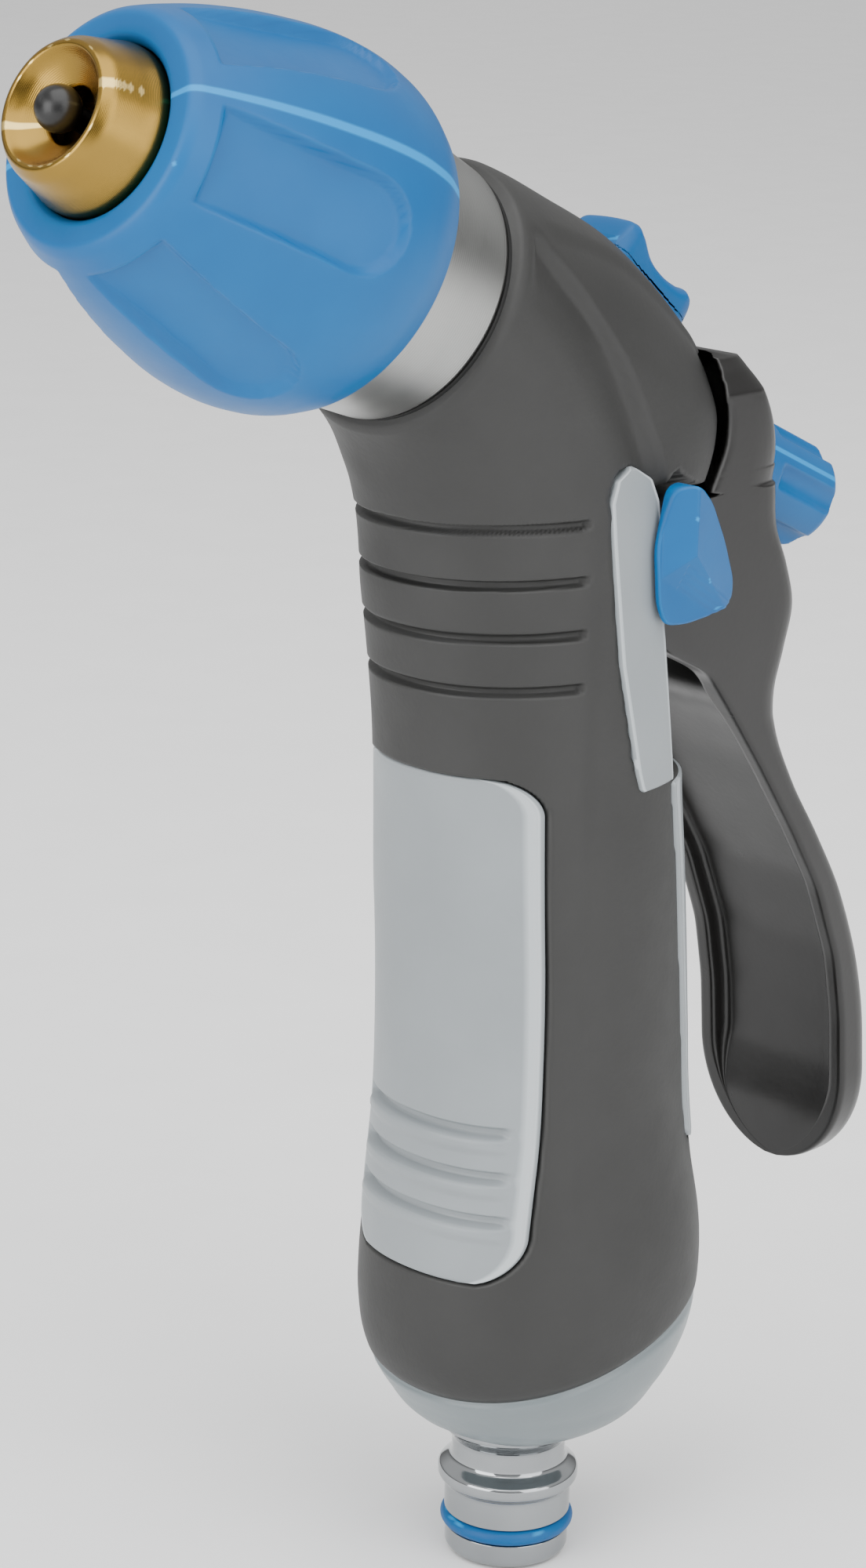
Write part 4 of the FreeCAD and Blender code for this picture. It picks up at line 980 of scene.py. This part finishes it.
# %% Give every piece its finish
record_slots = {
    "body_casting": "zinc_casting", "connector_oring": "blue_rubber", "connector_washer": "black_rubber",
    "filter_screen": "white_plastic", "collar_gasket": "black_rubber", "thread_sleeve": "brass",
    "sleeve_oring": "black_rubber", "nozzle_oring": "black_rubber", "spray_pin": "black_plastic",
    "head_core": "black_plastic", "valve_seat": "brass", "valve_disc": "black_rubber",
    "spring_cup": "brass", "valve_nut": "brass", "valve_stem": "steel", "return_spring": "steel",
    "gland_seal": "black_rubber", "gland_nut": "brass", "thrust_washer": "steel", "knob_insert": "brass",
    "trigger_bushes": "white_plastic", "trigger_pin": "steel", "pivot_washers": "white_plastic",
    "slider_plate": "black_plastic", "lock_shaft": "steel", "rear_frame": "light_plastic"}
for name, word in record_slots.items():
    for holder in nodes[name].material_slots:
        holder.link = "OBJECT"
        holder.material = FINISHES[word]
for piece in bpy.context.scene.objects:
    if "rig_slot" in piece and not piece.data.materials:
        piece.data.materials.append(FINISHES[piece["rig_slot"]])

# %% [markdown]
# ## Camera
# The camera looks down a little from the front left, through a long lens.

# %% Camera
CAMERA_AT = np.array([317.500, 290.861, 221.377])
azimuth, elevation, roll = np.radians([43.954, 16.318, 1.383])
toward = np.array([np.cos(azimuth) * np.cos(elevation), np.sin(azimuth) * np.cos(elevation),
                   np.sin(elevation)])
level = np.array([-np.sin(azimuth), np.cos(azimuth), 0])
upright = np.cross(toward, level)
right = np.cos(roll) * level + np.sin(roll) * upright
above = -np.sin(roll) * level + np.cos(roll) * upright
lens = bpy.data.cameras.new("main_camera")
lens.lens, lens.sensor_width = 90.0, 36.0
camera = bpy.data.objects.new("main_camera", lens)
stance = np.eye(4)
stance[:3, :3] = np.stack([right, above, toward], axis=1)
stance[:3, 3] = CAMERA_AT * MM
camera.matrix_world = Matrix(stance.tolist())
bpy.context.scene.collection.objects.link(camera)
bpy.context.scene.camera = camera

# %% [markdown]
# ## Light
# One large soft source hangs above and two stand at the left and the front, like a light tent. The sky fades
# from grey at the horizon to white higher up.

# %% Light
def soft_box(name, at, aim, size, power):
    """A square area light at a place in metres, turned to face a point."""
    lamp = bpy.data.lights.new(name, "AREA")
    lamp.size, lamp.energy = size, power
    holder = bpy.data.objects.new(name, lamp)
    holder.location = at
    holder.rotation_euler = (Vector(aim) - Vector(at)).to_track_quat("-Z", "Y").to_euler()
    bpy.context.scene.collection.objects.link(holder)

middle = (0.0, 0.0, 0.1)
soft_box("light_above", (0.15, 0.25, 0.95), middle, 1.1, 11.0)
soft_box("light_left", (0.0, 0.95, 0.35), middle, 0.8, 6.0)
soft_box("light_front", (0.95, -0.05, 0.35), middle, 0.7, 7.5)
world = bpy.data.worlds.new("studio")
world.use_nodes = True
sky = world.node_tree
where = sky.nodes.new("ShaderNodeTexCoord")
height = sky.nodes.new("ShaderNodeSeparateXYZ")
fade = sky.nodes.new("ShaderNodeValToRGB")
horizon, zenith = fade.color_ramp.elements
horizon.position, zenith.position = 0.02, 0.4
horizon.color, zenith.color = (0.22, 0.22, 0.22, 1), (1, 1, 1, 1)
sky.links.new(where.outputs["Generated"], height.inputs["Vector"])
sky.links.new(height.outputs["Z"], fade.inputs["Fac"])
sky.links.new(fade.outputs["Color"], sky.nodes["Background"].inputs["Color"])
sky.nodes["Background"].inputs["Strength"].default_value = 0.9
bpy.context.scene.world = world

# %% [markdown]
# ## Floor
# A plain pale sheet lies a hair below the connector.

# %% Floor
FLOOR_HALF, FLOOR_Z = 6000, -0.3
floor_points = np.array([(x * FLOOR_HALF, y * FLOOR_HALF, FLOOR_Z)
                         for x, y in ((-1, -1), (1, -1), (1, 1), (-1, 1))], float)
floor = add_mesh("studio_floor", floor_points, [(0, 1, 2, 3)])
floor.data.materials.append(finish("floor_paper", "f4f4f4", "f7f7f7", (0.8, 0.9), grain=(300, 0.02)))
